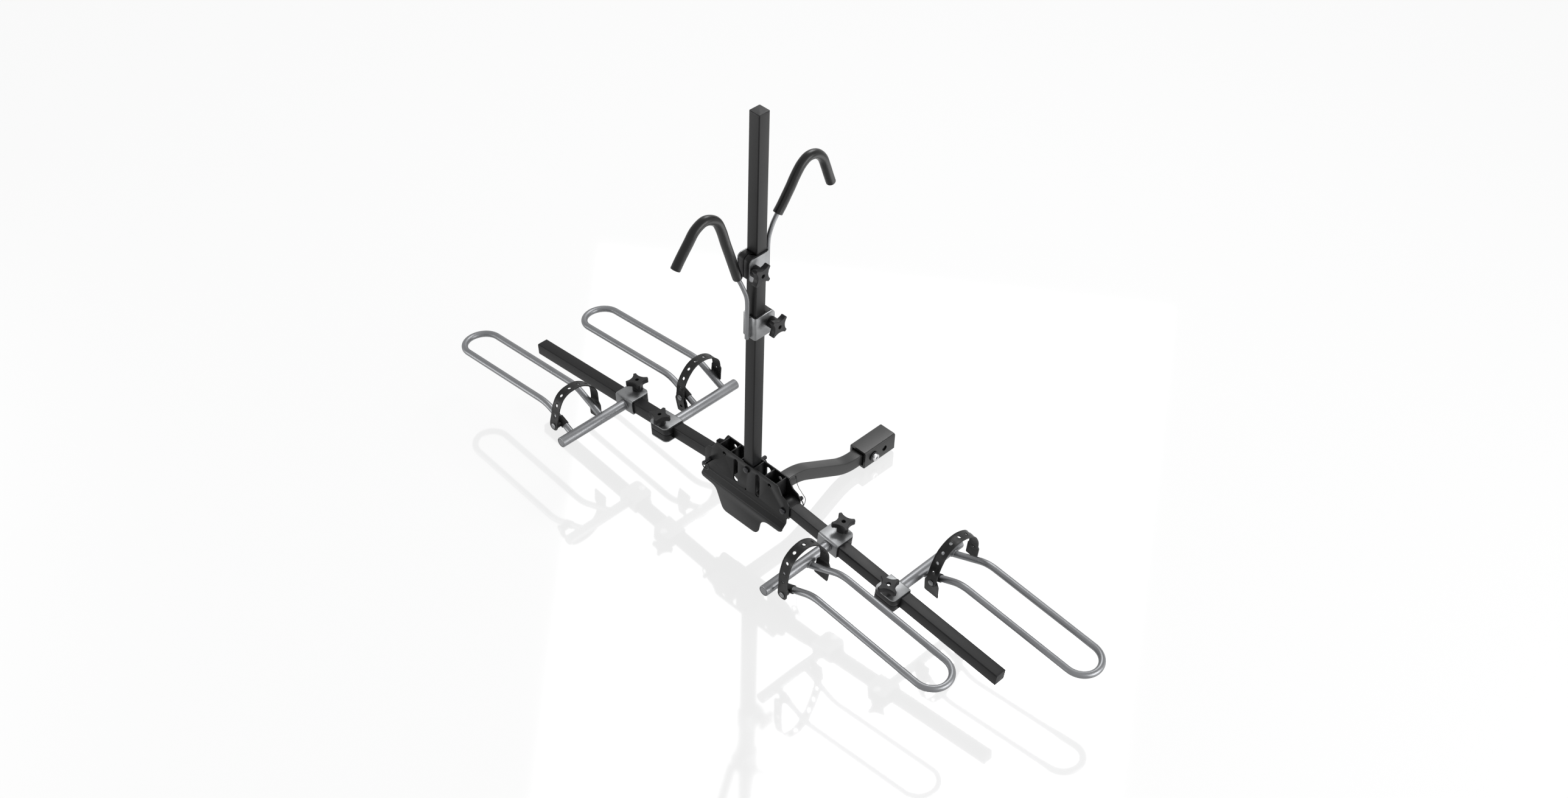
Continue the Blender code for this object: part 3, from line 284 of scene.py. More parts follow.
@dataclass
class Shape:
    """A mesh in the making, in millimetres, with the moves that shape it."""

    mesh: bmesh.types.BMesh = field(default_factory=bmesh.new)

    def outline(self, points: Iterable[tuple[float, float]], height: float = 0.0) -> list:
        """Draw a closed line of edges on a level plane.

        Args:
            points: its corners.
            height: the plane's height.

        Returns:
            The line's edges.
        """
        verts = [self.mesh.verts.new((x, y, height)) for x, y in points]
        return [self.mesh.edges.new((vert, verts[index - 1])) for index, vert in enumerate(verts)]

    def line(self, points: Iterable[tuple[float, float, float]]) -> list:
        """Draw an open line.

        Args:
            points: its points.

        Returns:
            Its vertices and edges.
        """
        verts = [self.mesh.verts.new(point) for point in points]
        return verts + [self.mesh.edges.new(pair) for pair in zip(verts, verts[1:])]

    def fill(self, edges: list) -> list:
        """Fill flat closed lines, with the inner ones as holes.

        Args:
            edges: the lines' edges.

        Returns:
            The new faces.
        """
        made = bmesh.ops.triangle_fill(self.mesh, edges=edges, use_beauty=True, use_dissolve=False)
        return [item for item in made["geom"] if isinstance(item, bmesh.types.BMFace)]

    def lift(self, faces: list, offset: Vector) -> list:
        """Extrude faces into a solid.

        Args:
            faces: the flat faces.
            offset: how far and which way.

        Returns:
            The faces at the far end.
        """
        made = bmesh.ops.extrude_face_region(self.mesh, geom=faces, use_keep_orig=True)["geom"]
        verts = [item for item in made if isinstance(item, bmesh.types.BMVert)]
        bmesh.ops.translate(self.mesh, vec=offset, verts=verts)
        return [item for item in made if isinstance(item, bmesh.types.BMFace)]

    def draw_out(self, edges: list, move: Matrix) -> list:
        """Extrude a line of edges into a band of faces.

        Args:
            edges: the line.
            move: what the new line's vertices go through.

        Returns:
            The new line's edges.
        """
        made = bmesh.ops.extrude_edge_only(self.mesh, edges=edges)["geom"]
        verts = {item for item in made if isinstance(item, bmesh.types.BMVert)}
        bmesh.ops.transform(self.mesh, matrix=move, verts=list(verts))
        return [item for item in made if isinstance(item, bmesh.types.BMEdge)
                and item.verts[0] in verts and item.verts[1] in verts]

    def sweep(self, stations: Sequence[Matrix], segments: int = 24, capped: bool = True) -> None:
        """Draw a round or square section of radius 1 along stations.

        Args:
            stations: where the section stands, each with its own scale.
            segments: sides of the section.
            capped: whether the two ends are closed.
        """
        ring = bmesh.ops.create_circle(self.mesh, segments=segments, radius=1.0,
                                       matrix=stations[0])["verts"]
        edges = list({edge for vert in ring for edge in vert.link_edges})
        if capped:
            bmesh.ops.contextual_create(self.mesh, geom=edges)
        for here, ahead in zip(stations, stations[1:]):
            edges = self.draw_out(edges, ahead @ here.inverted())
        if capped:
            bmesh.ops.contextual_create(self.mesh, geom=edges)

    def turn(self, profile: Iterable[tuple[float, float]], steps: int = 32) -> None:
        """Spin a profile round Z.

        Args:
            profile: radius and height of its points, both ends on the axis or joined.
            steps: faces round the axis.
        """
        line = self.line([(radius, 0.0, height) for radius, height in profile])
        bmesh.ops.spin(self.mesh, geom=line, cent=(0, 0, 0), axis=(0, 0, 1), angle=2 * math.pi,
                       steps=steps, use_merge=True)
        self.tidy()

    def tidy(self) -> None:
        """Merge doubled vertices and point the faces outwards."""
        bmesh.ops.remove_doubles(self.mesh, verts=self.mesh.verts[:], dist=MERGE)
        bmesh.ops.recalc_face_normals(self.mesh, faces=self.mesh.faces[:])

    def round_off(self, width: float, segments: int = 2, above: float = 30.0,
                  choose: Callable | None = None) -> None:
        """Bevel the sharp edges.

        Args:
            width: the bevel's width.
            segments: faces across it.
            above: least angle between the faces, in degrees.
            choose: a test that an edge also has to pass.
        """
        self.tidy()
        limit = math.radians(above)
        edges = [edge for edge in self.mesh.edges if len(edge.link_faces) == 2
                 and edge.calc_face_angle(0.0) > limit and (choose is None or choose(edge))]
        bmesh.ops.bevel(self.mesh, geom=edges, offset=width, offset_type="OFFSET",
                        segments=segments, profile=0.5, affect="EDGES", clamp_overlap=True,
                        material=-1)

    def flatten(self) -> None:
        """Join neighbouring faces that lie in one plane."""
        self.tidy()
        bmesh.ops.dissolve_limit(self.mesh, angle_limit=math.radians(0.5),
                                 verts=self.mesh.verts[:], edges=self.mesh.edges[:])

    def slice(self, stations: Iterable[float], normal: tuple[float, float, float]) -> None:
        """Cut edges across the mesh at distances along one axis.

        Args:
            stations: the distances.
            normal: the axis.
        """
        for station in stations:
            geometry = self.mesh.verts[:] + self.mesh.edges[:] + self.mesh.faces[:]
            bmesh.ops.bisect_plane(self.mesh, geom=geometry, dist=1e-4,
                                   plane_co=Vector(normal) * station, plane_no=normal)

    def bend(self, place: Callable[[Vector], Vector]) -> None:
        """Move every vertex to where a rule puts it."""
        for vert in self.mesh.verts:
            vert.co = place(vert.co)

    def move(self, matrix: Matrix) -> None:
        """Put the whole mesh through a matrix."""
        bmesh.ops.transform(self.mesh, matrix=matrix, verts=self.mesh.verts[:])

    def box(self, size: Sequence[float], centre: Sequence[float]) -> None:
        """Add a box.

        Args:
            size: its three sizes.
            centre: its middle.
        """
        bmesh.ops.create_cube(self.mesh, size=1.0, matrix=Matrix.Translation(centre)
                              @ Matrix.Diagonal((*size, 1)))

    def join(self, other: "Shape") -> None:
        """Take over another shape's mesh.

        Args:
            other: the other shape, which is used up.
        """
        data = bpy.data.meshes.new("joined")
        other.mesh.to_mesh(data)
        other.mesh.free()
        self.mesh.from_mesh(data)
        bpy.data.meshes.remove(data)

    def piece(self, name: str, finish: Finish, body: str, place: Matrix,
              replaces: Sequence[str] = (), smooth: float = 35.0) -> bpy.types.Object:
        """Make the mesh an object of the rack.

        Args:
            name: the piece's name.
            finish: what it is finished in.
            body: the body that it rides on.
            place: from the mesh's millimetres to the rack's metres.
            replaces: CAD nodes that it stands for.
            smooth: edges sharper than this many degrees stay sharp.

        Returns:
            The object.
        """
        self.tidy()
        self.move(place)
        bmesh.ops.recalc_face_normals(self.mesh, faces=self.mesh.faces[:])
        data = bpy.data.meshes.new(name)
        self.mesh.to_mesh(data)
        self.mesh.free()
        data.shade_smooth()
        data.set_sharp_from_angle(angle=math.radians(smooth))
        data.materials.append(finish.material())
        made = bpy.data.objects.new(name, data)
        bpy.context.scene.collection.objects.link(made)
        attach(made, body)
        if replaces:
            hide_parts(*replaces)
        LOG.info("%s: %d faces, rides on %s", name, len(data.polygons), body)
        return made


def drill(piece: bpy.types.Object, at: Sequence[float], radius: float, depth: float,
          sides: int) -> None:
    """Drill a hole along X through a finished piece.

    Args:
        piece: the piece.
        at: the hole's middle, in millimetres.
        radius: its radius.
        depth: its length.
        sides: faces round it.
    """
    tool = Shape()
    bmesh.ops.create_cone(tool.mesh, cap_ends=True, segments=sides, radius1=radius,
                          radius2=radius, depth=depth)
    tool.tidy()
    tool.move(TO_ROW @ Matrix.Translation(at) @ ALONG_X)
    bmesh.ops.recalc_face_normals(tool.mesh, faces=tool.mesh.faces[:])
    data = bpy.data.meshes.new("tool")
    tool.mesh.to_mesh(data)
    tool.mesh.free()
    helper = bpy.data.objects.new("tool", data)
    bpy.context.scene.collection.objects.link(helper)
    modifier = piece.modifiers.new("cut", "BOOLEAN")
    modifier.object = helper
    modifier.solver = "EXACT"
    bpy.context.view_layer.update()
    result = bpy.data.meshes.new_from_object(
        piece.evaluated_get(bpy.context.evaluated_depsgraph_get()))
    piece.modifiers.clear()
    old = piece.data
    piece.data = result
    result.name = old.name
    bpy.data.objects.remove(helper)
    bpy.data.meshes.remove(data)
    bpy.data.meshes.remove(old)
    result.set_sharp_from_angle(angle=math.radians(35))


def stations_along(path: Sequence[Vector], radius: float | Sequence[float],
                   side: Vector = Vector((1, 0, 0))) -> list[Matrix]:
    """Stand a section square on each point of a path, without twist.

    Args:
        path: the path's points.
        radius: the section's radius, or one for each point.
        side: the way that the section's X axis points at the start.

    Returns:
        One matrix for each point.
    """
    radii = [radius] * len(path) if isinstance(radius, (int, float)) else list(radius)
    made = []
    across = side
    for index, point in enumerate(path):
        before = path[max(index - 1, 0)]
        after = path[min(index + 1, len(path) - 1)]
        ahead = (after - before).normalized()
        across = (across - ahead * across.dot(ahead)).normalized()
        turn = Matrix((across, ahead.cross(across), ahead)).transposed().to_4x4()
        made.append(Matrix.Translation(point) @ turn @ Matrix.Scale(radii[index], 4))
    return made


def arc_corner(before: Vector, corner: Vector, after: Vector, radius: float,
               step: float = 4.0) -> list[Vector]:
    """Points of the arc that rounds a path's corner.

    Args:
        before: the point before the corner.
        corner: the corner.
        after: the point after it.
        radius: the arc's radius.
        step: the turn between points, in degrees.

    Returns:
        The arc's points.
    """
    back = (before - corner).normalized()
    ahead = (after - corner).normalized()
    opening = back.angle(ahead)
    middle = (back + ahead).normalized()
    centre = corner + middle * radius / math.sin(opening / 2)
    reach = radius / math.tan(opening / 2)
    start = corner + back * reach - centre
    end = corner + ahead * reach - centre
    turn = math.pi - opening
    count = max(2, math.ceil(turn / math.radians(step)))
    points = []
    for index in range(count + 1):
        share = index / count
        blend = start * math.sin((1 - share) * turn) + end * math.sin(share * turn)
        points.append(centre + blend / math.sin(turn))
    return points


def round_path(corners: Sequence[tuple], step: float = 4.0) -> list[Vector]:
    """Open path through (point, radius) corners.

    Args:
        corners: the corners, of which the first and last are ends.
        step: the turn between the arcs' points, in degrees.

    Returns:
        The path's points.
    """
    spots = [Vector(point) for point, _ in corners]
    points = [spots[0]]
    for index in range(1, len(corners) - 1):
        points += arc_corner(spots[index - 1], spots[index], spots[index + 1], corners[index][1],
                             step)
    points.append(spots[-1])
    return points


def round_outline(corners: Sequence[tuple[float, float, float]],
                  step: float = 10.0) -> Outline:
    """Closed outline through (x, y, radius) corners.

    Args:
        corners: the corners in order.
        step: the turn between the arcs' points, in degrees.

    Returns:
        The outline's points.
    """
    points = []
    for index, (x, y, radius) in enumerate(corners):
        here = Vector((x, y, 0))
        if radius <= 0:
            points.append(here)
            continue
        before = Vector((*corners[index - 1][:2], 0))
        after = Vector((*corners[(index + 1) % len(corners)][:2], 0))
        points += arc_corner(before, here, after, radius, step)
    return [(point.x, point.y) for point in points]


def ring_outline(x: float, y: float, radius: float, sides: int = 32) -> Outline:
    """Closed round outline.

    Args:
        x: its centre across.
        y: its centre along.
        radius: its radius.
        sides: its sides.

    Returns:
        The outline's points.
    """
    turns = [2 * math.pi * index / sides for index in range(sides)]
    return [(x + radius * math.cos(turn), y + radius * math.sin(turn)) for turn in turns]


def slot_outline(x: float, low: float, high: float, width: float) -> Outline:
    """Closed outline of an upright slot with round ends.

    Args:
        x: its centre across.
        low: its lower end.
        high: its upper end.
        width: its width.

    Returns:
        The outline's points.
    """
    half = width / 2
    radius = half - 0.01
    return round_outline([(x + half, low, radius), (x + half, high, radius),
                          (x - half, high, radius), (x - half, low, radius)], 15.0)


def smooth_path(points: Sequence[Vector]) -> list[Vector]:
    """Catmull-Rom curve through points.

    Args:
        points: the points.

    Returns:
        The curve's points.
    """
    ends = [points[0] * 2 - points[1], *points, points[-1] * 2 - points[-2]]
    curve = [points[0].copy()]
    for a, b, c, d in zip(ends, ends[1:], ends[2:], ends[3:]):
        for step in range(1, CURVE_PIECES + 1):
            t = step / CURVE_PIECES
            curve.append(0.5 * (2 * b + (c - a) * t + (2 * a - 5 * b + 4 * c - d) * t ** 2
                                + (3 * b - a - 3 * c + d) * t ** 3))
    return curve


def even_path(points: Sequence[Vector], spacing: float) -> list[Vector]:
    """Points at equal distances along a path.

    Args:
        points: the path.
        spacing: about how far apart.

    Returns:
        The evenly spaced points, both ends included.
    """
    lengths = [0.0]
    for start, end in zip(points, points[1:]):
        lengths.append(lengths[-1] + (end - start).length)
    count = max(2, round(lengths[-1] / spacing))
    made = []
    index = 0
    for step in range(count + 1):
        distance = lengths[-1] * step / count
        while index < len(points) - 2 and lengths[index + 1] < distance:
            index += 1
        share = (distance - lengths[index]) / (lengths[index + 1] - lengths[index])
        made.append(points[index].lerp(points[index + 1], share))
    return made


@dataclass
class ArmAxes:
    """Axes of one arm, which droops from its pin: out along it, across it and up from it."""

    side: Side
    droop: float = 5.386
    rise: float = 3.5

    def matrix(self) -> Matrix:
        """Set out the arm's own axes.

        Returns:
            From millimetres along, across and up the arm to the rack's metres.
        """
        sign = self.side.value
        pin = Matrix.Translation((sign * ARM_PIN[0], 0, ARM_PIN[1]))
        turn = Matrix.Rotation(math.radians(sign * self.droop), 4, "Y")
        mirror = Matrix.Diagonal((sign, 1, 1, 1))
        return TO_ROW @ pin @ turn @ Matrix.Translation((0, 0, self.rise)) @ mirror


@dataclass
class SquareTube:
    """Square steel tube with rounded corners, swept along a path."""

    width: float = 30.0
    wall: float = 2.0
    corner: float = 2.8

    def shape(self, path: Sequence[Vector], side: Vector = Vector((1, 0, 0))) -> Shape:
        """Build the tube, open at both ends.

        Args:
            path: its middle line.
            side: the way that one pair of its faces looks.

        Returns:
            The tube's shape.
        """
        made = Shape()
        spin = Matrix.Rotation(math.radians(45), 4, "Z")
        stations = [station @ spin for station
                    in stations_along(path, self.width / math.sqrt(2), side)]
        made.sweep(stations, 4, capped=False)
        limit = math.radians(60)
        mesh = made.mesh
        bmesh.ops.recalc_face_normals(mesh, faces=mesh.faces[:])
        edges = [edge for edge in mesh.edges if len(edge.link_faces) == 2
                 and edge.calc_face_angle(0.0) > limit]
        bmesh.ops.bevel(mesh, geom=edges, offset=self.corner, offset_type="OFFSET", segments=5,
                        profile=0.5, affect="EDGES", material=-1)
        bmesh.ops.recalc_face_normals(mesh, faces=mesh.faces[:])
        bmesh.ops.solidify(mesh, geom=mesh.faces[:], thickness=self.wall)
        return made


@dataclass
class EndCap:
    """Moulded cap on a square tube's end, with a soft crown and a plug inside."""

    width: float = 30.0
    rise: float = 4.7
    corner: float = 2.8
    crown: float = 1.2
    plug: float = 25.0
    depth: float = 15.0

    def build(self, node: str, body: str, place: Matrix) -> None:
        """Build the cap on the end whose plane is z 0.

        Args:
            node: its CAD node.
            body: the body that it rides on.
            place: from the cap's millimetres to the rack's metres.
        """
        made = Shape()
        made.box((self.width, self.width, self.rise - GAP), (0, 0, self.rise / 2))
        made.round_off(self.corner, 4, 60.0, lambda edge: abs((edge.verts[0].co
                                                               - edge.verts[1].co).z) > 1)
        made.round_off(self.crown, 4, 60.0,
                       lambda edge: min(vert.co.z for vert in edge.verts) > self.rise / 2)
        made.box((self.plug, self.plug, self.depth), (0, 0, -self.depth / 2))
        made.piece(f"{node}_moulded", NYLON, body, place, [node])


@dataclass
class Bracket:
    """Two plates with six webs between them; the front plate has a stepped skirt.

    A bend is its height on the flat sheet, its angle and its radius. The slots, the holes and
    the drain are x, z (low and high for the slots) and a width or a radius.
    """

    plate: float = 3.0
    inner: float = 16.0
    top: float = 55.0
    half_width: float = 136.0
    edge: float = 0.7
    bends: tuple = ((-43.0, 38.6, 6.0), (-60.1, -38.6, 6.0))
    slot: tuple[float, float, float, float] = (35.4, -23.0, 46.0, 13.4)
    upper_hole: tuple[float, float, float] = (73.0, 39.0, 5.2)
    drain: tuple[float, float, float] = (-2.5, -25.0, 2.5)
    webs: tuple = (-91.3, -54.8, -20.4, 20.4, 54.8, 91.3)
    web_low: float = -24.0

    def shoulder(self, side: int) -> list[tuple[float, float, float]]:
        """Corners above one arm, from the middle outwards.

        Args:
            side: the sign of X.

        Returns:
            The corners with their radii.
        """
        return [(side * 99.5, self.top, 5), (side * 112, 32, 8), (side * 128, 26, 8),
                (side * self.half_width, 16, 6)]

    def holes(self) -> list[Outline]:
        """Draw the slots and holes that both plates share.

        Returns:
            Their outlines.
        """
        made = [ring_outline(*MAST_PIN, PIN_BORE)]
        for side in (-1, 1):
            made.append(slot_outline(side * self.slot[0], *self.slot[1:]))
            made.append(ring_outline(side * self.upper_hole[0], *self.upper_hole[1:]))
            made.append(ring_outline(side * ARM_PIN[0], ARM_PIN[1], PIN_BORE))
        return made

    def folded(self, distance: float) -> tuple[Vector, Vector]:
        """Where a height on the flat sheet comes to lie once it is bent.

        Args:
            distance: the height on the flat sheet.

        Returns:
            The place (out, up) on the middle line, and the normal there.
        """
        place = Vector((0.0, 0.0))
        heading = here = 0.0
        for station, angle, radius in self.bends:
            half_arc = abs(math.radians(angle)) * radius / 2
            if distance >= station + half_arc:
                break
            place += Vector((-math.sin(heading), -math.cos(heading))) * (here - station - half_arc)
            here = station + half_arc
            run = min(here - distance, 2 * half_arc)
            turned = math.copysign(run / radius, angle)
            middle = heading + turned / 2
            chord = 2 * radius * math.sin(abs(turned) / 2)
            place += Vector((-math.sin(middle), -math.cos(middle))) * chord
            heading += turned
            here -= run
            if run < 2 * half_arc:
                break
        place += Vector((-math.sin(heading), -math.cos(heading))) * (here - distance)
        return place, Vector((math.cos(heading), -math.sin(heading)))

    def build_front(self) -> None:
        """Build the front plate and bend its skirt."""
        right = self.shoulder(1) + [(136, -18, 6), (128, -30, 8), (125.5, -66, 5), (116, -72, 8),
                                    (60, -72.5, 28), (49, -130, 20)]
        left = [(-65, -131, 18), (-91, -73, 22), (-138, -69, 8), (-136.5, -20, 0)]
        made = Shape()
        edges = made.outline(round_outline(right + left + self.shoulder(-1)[::-1]))
        for hole in [*self.holes(), ring_outline(*self.drain, 20)]:
            edges += made.outline(hole)
        made.lift(made.fill(edges), Vector((0, 0, self.plate)))
        made.flatten()
        made.round_off(self.edge, 2, 60.0)
        cuts = []
        for station, angle, radius in self.bends:
            half_arc = abs(math.radians(angle)) * radius / 2
            cuts += [station + half_arc * (1 - share / 4) for share in range(9)]
        made.slice(cuts, (0, 1, 0))

        def place(spot: Vector) -> Vector:
            """Bend one point of the flat sheet.

            Args:
                spot: the point.

            Returns:
                Where it comes to lie.
            """
            middle, normal = self.folded(spot.y)
            at = middle + normal * (spot.z - self.plate / 2)
            return Vector((spot.x, at.x - self.inner - self.plate / 2, at.y))

        made.bend(place)
        made.piece("bracket_front_skin", POWDER_COAT, "frame", TO_ROW, ["bracket_front_plate"], 30)

    def build_back(self) -> None:
        """Build the flat back plate."""
        corners = (self.shoulder(1) + [(136, -20, 8), (112, -42, 20), (62, -61.7, 12),
                                       (-62, -61.7, 12), (-112, -42, 20), (-136, -20, 8)]
                   + self.shoulder(-1)[::-1])
        made = Shape()
        edges = made.outline(round_outline(corners))
        for hole in self.holes():
            edges += made.outline(hole)
        made.lift(made.fill(edges), Vector((0, 0, self.plate)))
        made.flatten()
        made.round_off(self.edge, 2, 60.0)
        made.bend(lambda spot: Vector((spot.x, self.inner + spot.z, spot.y)))
        made.piece("bracket_back_skin", POWDER_COAT, "frame", TO_ROW, ["bracket_back_plate"], 30)

    def build_webs(self) -> None:
        """Build the six webs between the plates."""
        high = self.top - 0.5
        for number, x in enumerate(self.webs, 1):
            made = Shape()
            made.box((self.plate, 2 * (self.inner - GAP), high - self.web_low),
                     (x, 0, (high + self.web_low) / 2))
            made.round_off(0.5, 2, 60.0)
            made.piece(f"bracket_web_{number}_skin", POWDER_COAT, "frame", TO_ROW,
                       [f"bracket_web_{number}"])

    def build(self) -> None:
        """Build the whole bracket."""
        self.build_front()
        self.build_back()
        self.build_webs()


@dataclass
class Hitch:
    """Bent bar under the bracket, with the receiver sleeve bolted on its end."""

    bar: SquareTube = field(default_factory=lambda: SquareTube(31.8, 4.0, 3.2))
    sleeve: SquareTube = field(default_factory=lambda: SquareTube(50.8, 6.4, 5.0))
    level: float = -77.9
    rear_level: float = -167.5
    start: float = -26.0
    bend_from: float = 110.0
    bend: float = 140.0
    end: float = 411.0
    slope: float = 28.0
    sleeve_level: float = -167.0
    sleeve_ends: tuple[float, float] = (362.0, 468.0)
    bolt_y: float = 392.0
    bolt_face: float = 25.7
    pin_y: float = 431.0
    pin_hole: float = 16.3

    def build_bar(self) -> None:
        """Build the bent hitch bar."""
        run = (self.level - self.rear_level) / math.tan(math.radians(self.slope))
        first = self.bend_from + self.bend * math.tan(math.radians(self.slope / 2))
        path = round_path([((0, self.start, self.level), 0), ((0, first, self.level), self.bend),
                           ((0, first + run, self.rear_level), self.bend),
                           ((0, self.end, self.rear_level), 0)])
        made = self.bar.shape(path)
        made.piece("hitch_bar", GLOSSY_COAT, "frame", TO_ROW, ["hitch_shank"])

    def build_sleeve(self) -> None:
        """Build the receiver sleeve with the hitch pin's hole through it."""
        made = self.sleeve.shape([Vector((0, y, self.sleeve_level)) for y in self.sleeve_ends])
        sleeve = made.piece("receiver_sleeve", GLOSSY_COAT, "frame", TO_ROW, ["hitch_sleeve"])
        drill(sleeve, (0, self.pin_y, self.sleeve_level), self.pin_hole / 2, 80, 40)

    def build_bolt(self) -> None:
        """Build the button-headed bolt and its washer."""
        face = self.bolt_face
        at = TO_ROW @ Matrix.Translation((0, self.bolt_y, self.sleeve_level)) @ ALONG_X
        made = Shape()
        made.turn([(0, -face - 2), (5, -face - 2), (6, -face - 1), (6, face + 3), (9.2, face + 3),
                   (9.5, face + 3.3), (9.5, face + 9), (9.1, face + 10.1), (8, face + 10.9),
                   (6.4, face + 11.2), (3.6, face + 11.2), (3.3, face + 10.9), (3.1, face + 6.5),
                   (0, face + 6.5)], 36)
        made.piece("sleeve_bolt_turned", BRIGHT_ZINC, "frame", at, ["sleeve_bolt"])
        made = Shape()
        made.turn([(6, face), (13.1, face), (13.5, face + 0.4), (13.5, face + 2.5),
                   (13.1, face + 2.95), (6, face + 2.95), (6, face)], 36)
        made.piece("sleeve_bolt_washer", BLACK_ZINC, "frame", at)

    def build(self) -> None:
        """Build the bar, the sleeve and the bolt."""
        self.build_bar()
        self.build_sleeve()
        self.build_bolt()


@dataclass
class Mast:
    """Square mast with its cap."""

    tube: SquareTube = field(default_factory=SquareTube)
    cap: EndCap = field(default_factory=EndCap)
    foot: float = -61.7
    top: float = 985.0

    def build(self) -> None:
        """Build the mast's tube and cap."""
        made = self.tube.shape([Vector((0, 0, self.foot)), Vector((0, 0, self.top))])
        made.piece("mast_tube", POWDER_COAT, "frame", TO_ROW, ["mast"])
        self.cap.build("mast_cap", "frame", TO_ROW @ Matrix.Translation((0, 0, self.top)))


@dataclass
class LockPins:
    """Turned pins through the bracket, each kept by a wire ring in its cross hole."""

    radius: float = 5.0
    head: float = 8.0
    head_rise: float = 5.0
    face: float = 19.3
    tip: float = 43.0
    cross_y: float = 35.0
    cross_hole: float = 2.7
    ring: float = 11.0
    wire: float = 1.3
    ring_lift: float = 0.3
    tether_wire: float = 0.75
    tether: tuple = ((17.0, 127.5, -66.5), (18.5, 129.1, -79.1), (26.0, 121.5, -77.9),
                     (58.0, 94.7, -55.0), (82.0, 74.0, -31.3), (103.0, 55.5, -9.9),
                     (112.0, 48.2, -2.7), (122.0, 42.1, 2.2), (131.4, 39.5, -3.0),
                     (131.1, 35.0, -18.7))

    def build_pin(self, name: str, x: float, z: float, facing: Facing) -> None:
        """Build one pin.

        Args:
            name: its CAD node.
            x: its place along the bracket.
            z: its height.
            facing: where its tip points.
        """
        made = Shape()
        base = -self.face - self.head_rise
        made.turn([(0, base), (5.6, base), (6.8, base + 0.3), (7.7, base + 1),
                   (self.head, base + 1.8), (self.head, -self.face - 0.3), (7.7, -self.face),
                   (self.radius, -self.face),
                   (self.radius, self.tip - 2), (self.radius - 0.6, self.tip - 1),
                   (self.radius - 1.8, self.tip), (0, self.tip)], 32)
        spin = Matrix.Rotation(math.radians(-90 * facing.value), 4, "X")
        pin = made.piece(f"{name}_turned", BLACK_ZINC, name,
                         TO_ROW @ Matrix.Translation((x, 0, z)) @ spin, [name])
        drill(pin, (x, self.cross_y * facing.value, z), self.cross_hole, 24, 24)

    def build_ring(self, name: str, x: float, z: float, facing: Facing) -> None:
        """Build one wire ring, hanging in its pin's cross hole.

        Args:
            name: its CAD node and body.
            x: its pin's place along the bracket.
            z: its pin's height.
            facing: where its pin's tip points.
        """
        made = Shape()
        section = bmesh.ops.create_circle(made.mesh, segments=12, radius=self.wire,
                                          matrix=Matrix.Translation((self.ring, 0, 0)))["verts"]
        edges = list({edge for vert in section for edge in vert.link_edges})
        bmesh.ops.spin(made.mesh, geom=section + edges, cent=(0, 0, 0), axis=(0, 1, 0),
                       angle=2 * math.pi, steps=48, use_merge=True)
        at = Matrix.Translation((x, self.cross_y * facing.value, z + self.ring_lift - self.ring))
        made.piece(f"{name}_wire", BLACK_ZINC, name, TO_ROW @ at, [name])

    def build_tether(self) -> None:
        """Build the thin wire from the hitch bar to the right pin's ring."""
        path = smooth_path([Vector(spot) for spot in self.tether])
        made = Shape()
        made.sweep(stations_along(path, self.tether_wire), 12)
        made.piece("tether_wire", BLACK_ZINC, "frame", TO_ROW, ["pin_tether"])

    def build(self) -> None:
        """Build the three pins, their rings and the tether."""
        for label, x, z, facing in (("mast_pin", *MAST_PIN, Facing.REAR),
                                    ("right_arm_pin", *ARM_PIN, Facing.REAR),
                                    ("left_arm_pin", -ARM_PIN[0], ARM_PIN[1], Facing.FRONT)):
            self.build_pin(label, x, z, facing)
            self.build_ring(label.replace("arm_", "") + "_ring", x, z, facing)
        self.build_tether()


@dataclass
class Arm:
    """Arm tube on its knuckle, with its end plug."""

    side: Side
    tube: SquareTube = field(default_factory=SquareTube)
    cap: EndCap = field(default_factory=EndCap)
    start: float = 16.5
    end: float = 626.8
    knuckle: float = 24.4
    knuckle_back: float = -23.3
    knuckle_low: float = -18.0
    knuckle_width: float = 31.2
    knuckle_drop: float = 3.5

    @property
    def label(self) -> str:
        """The side's name."""
        return self.side.name.lower()

    def build_tube(self) -> None:
        """Build the tube and its plug."""
        place = ArmAxes(self.side).matrix()
        body = f"{self.label}_arm"
        made = self.tube.shape([Vector((self.start, 0, 0)), Vector((self.end, 0, 0))],
                               Vector((0, 1, 0)))
        made.piece(f"{self.label}_arm_tube", POWDER_COAT, body, place, [f"{self.label}_arm"])
        self.cap.build(f"{self.label}_arm_plug", body,
                       place @ Matrix.Translation((self.end, 0, 0)) @ ALONG_X)

    def build_knuckle(self) -> None:
        """Build the rounded knuckle that the arm turns on."""
        edge = self.start - GAP
        arc = [(self.knuckle * math.cos(turn), self.knuckle * math.sin(turn))
               for turn in map(math.radians, range(50, 181, 5))]
        back, low = self.knuckle_back, self.knuckle_low
        corners = [(back, low / 2), (back, low), (edge, low),
                   (edge, math.sqrt(self.knuckle ** 2 - edge ** 2)), *arc]
        made = Shape()
        faces = made.fill(made.outline(corners) + made.outline(ring_outline(0, 0, PIN_BORE)))
        made.lift(faces, Vector((0, 0, self.knuckle_width)))
        made.flatten()
        made.round_off(0.7, 2, 50.0)
        made.bend(lambda spot: Vector((spot.x, spot.z - self.knuckle_width / 2,
                                       spot.y - self.knuckle_drop)))
        made.piece(f"{self.label}_knuckle_block", POWDER_COAT, f"{self.label}_arm",
                   ArmAxes(self.side).matrix(), [f"{self.label}_arm_knuckle"], 25)

    def build(self) -> None:
        """Build the arm."""
        self.build_tube()
        self.build_knuckle()


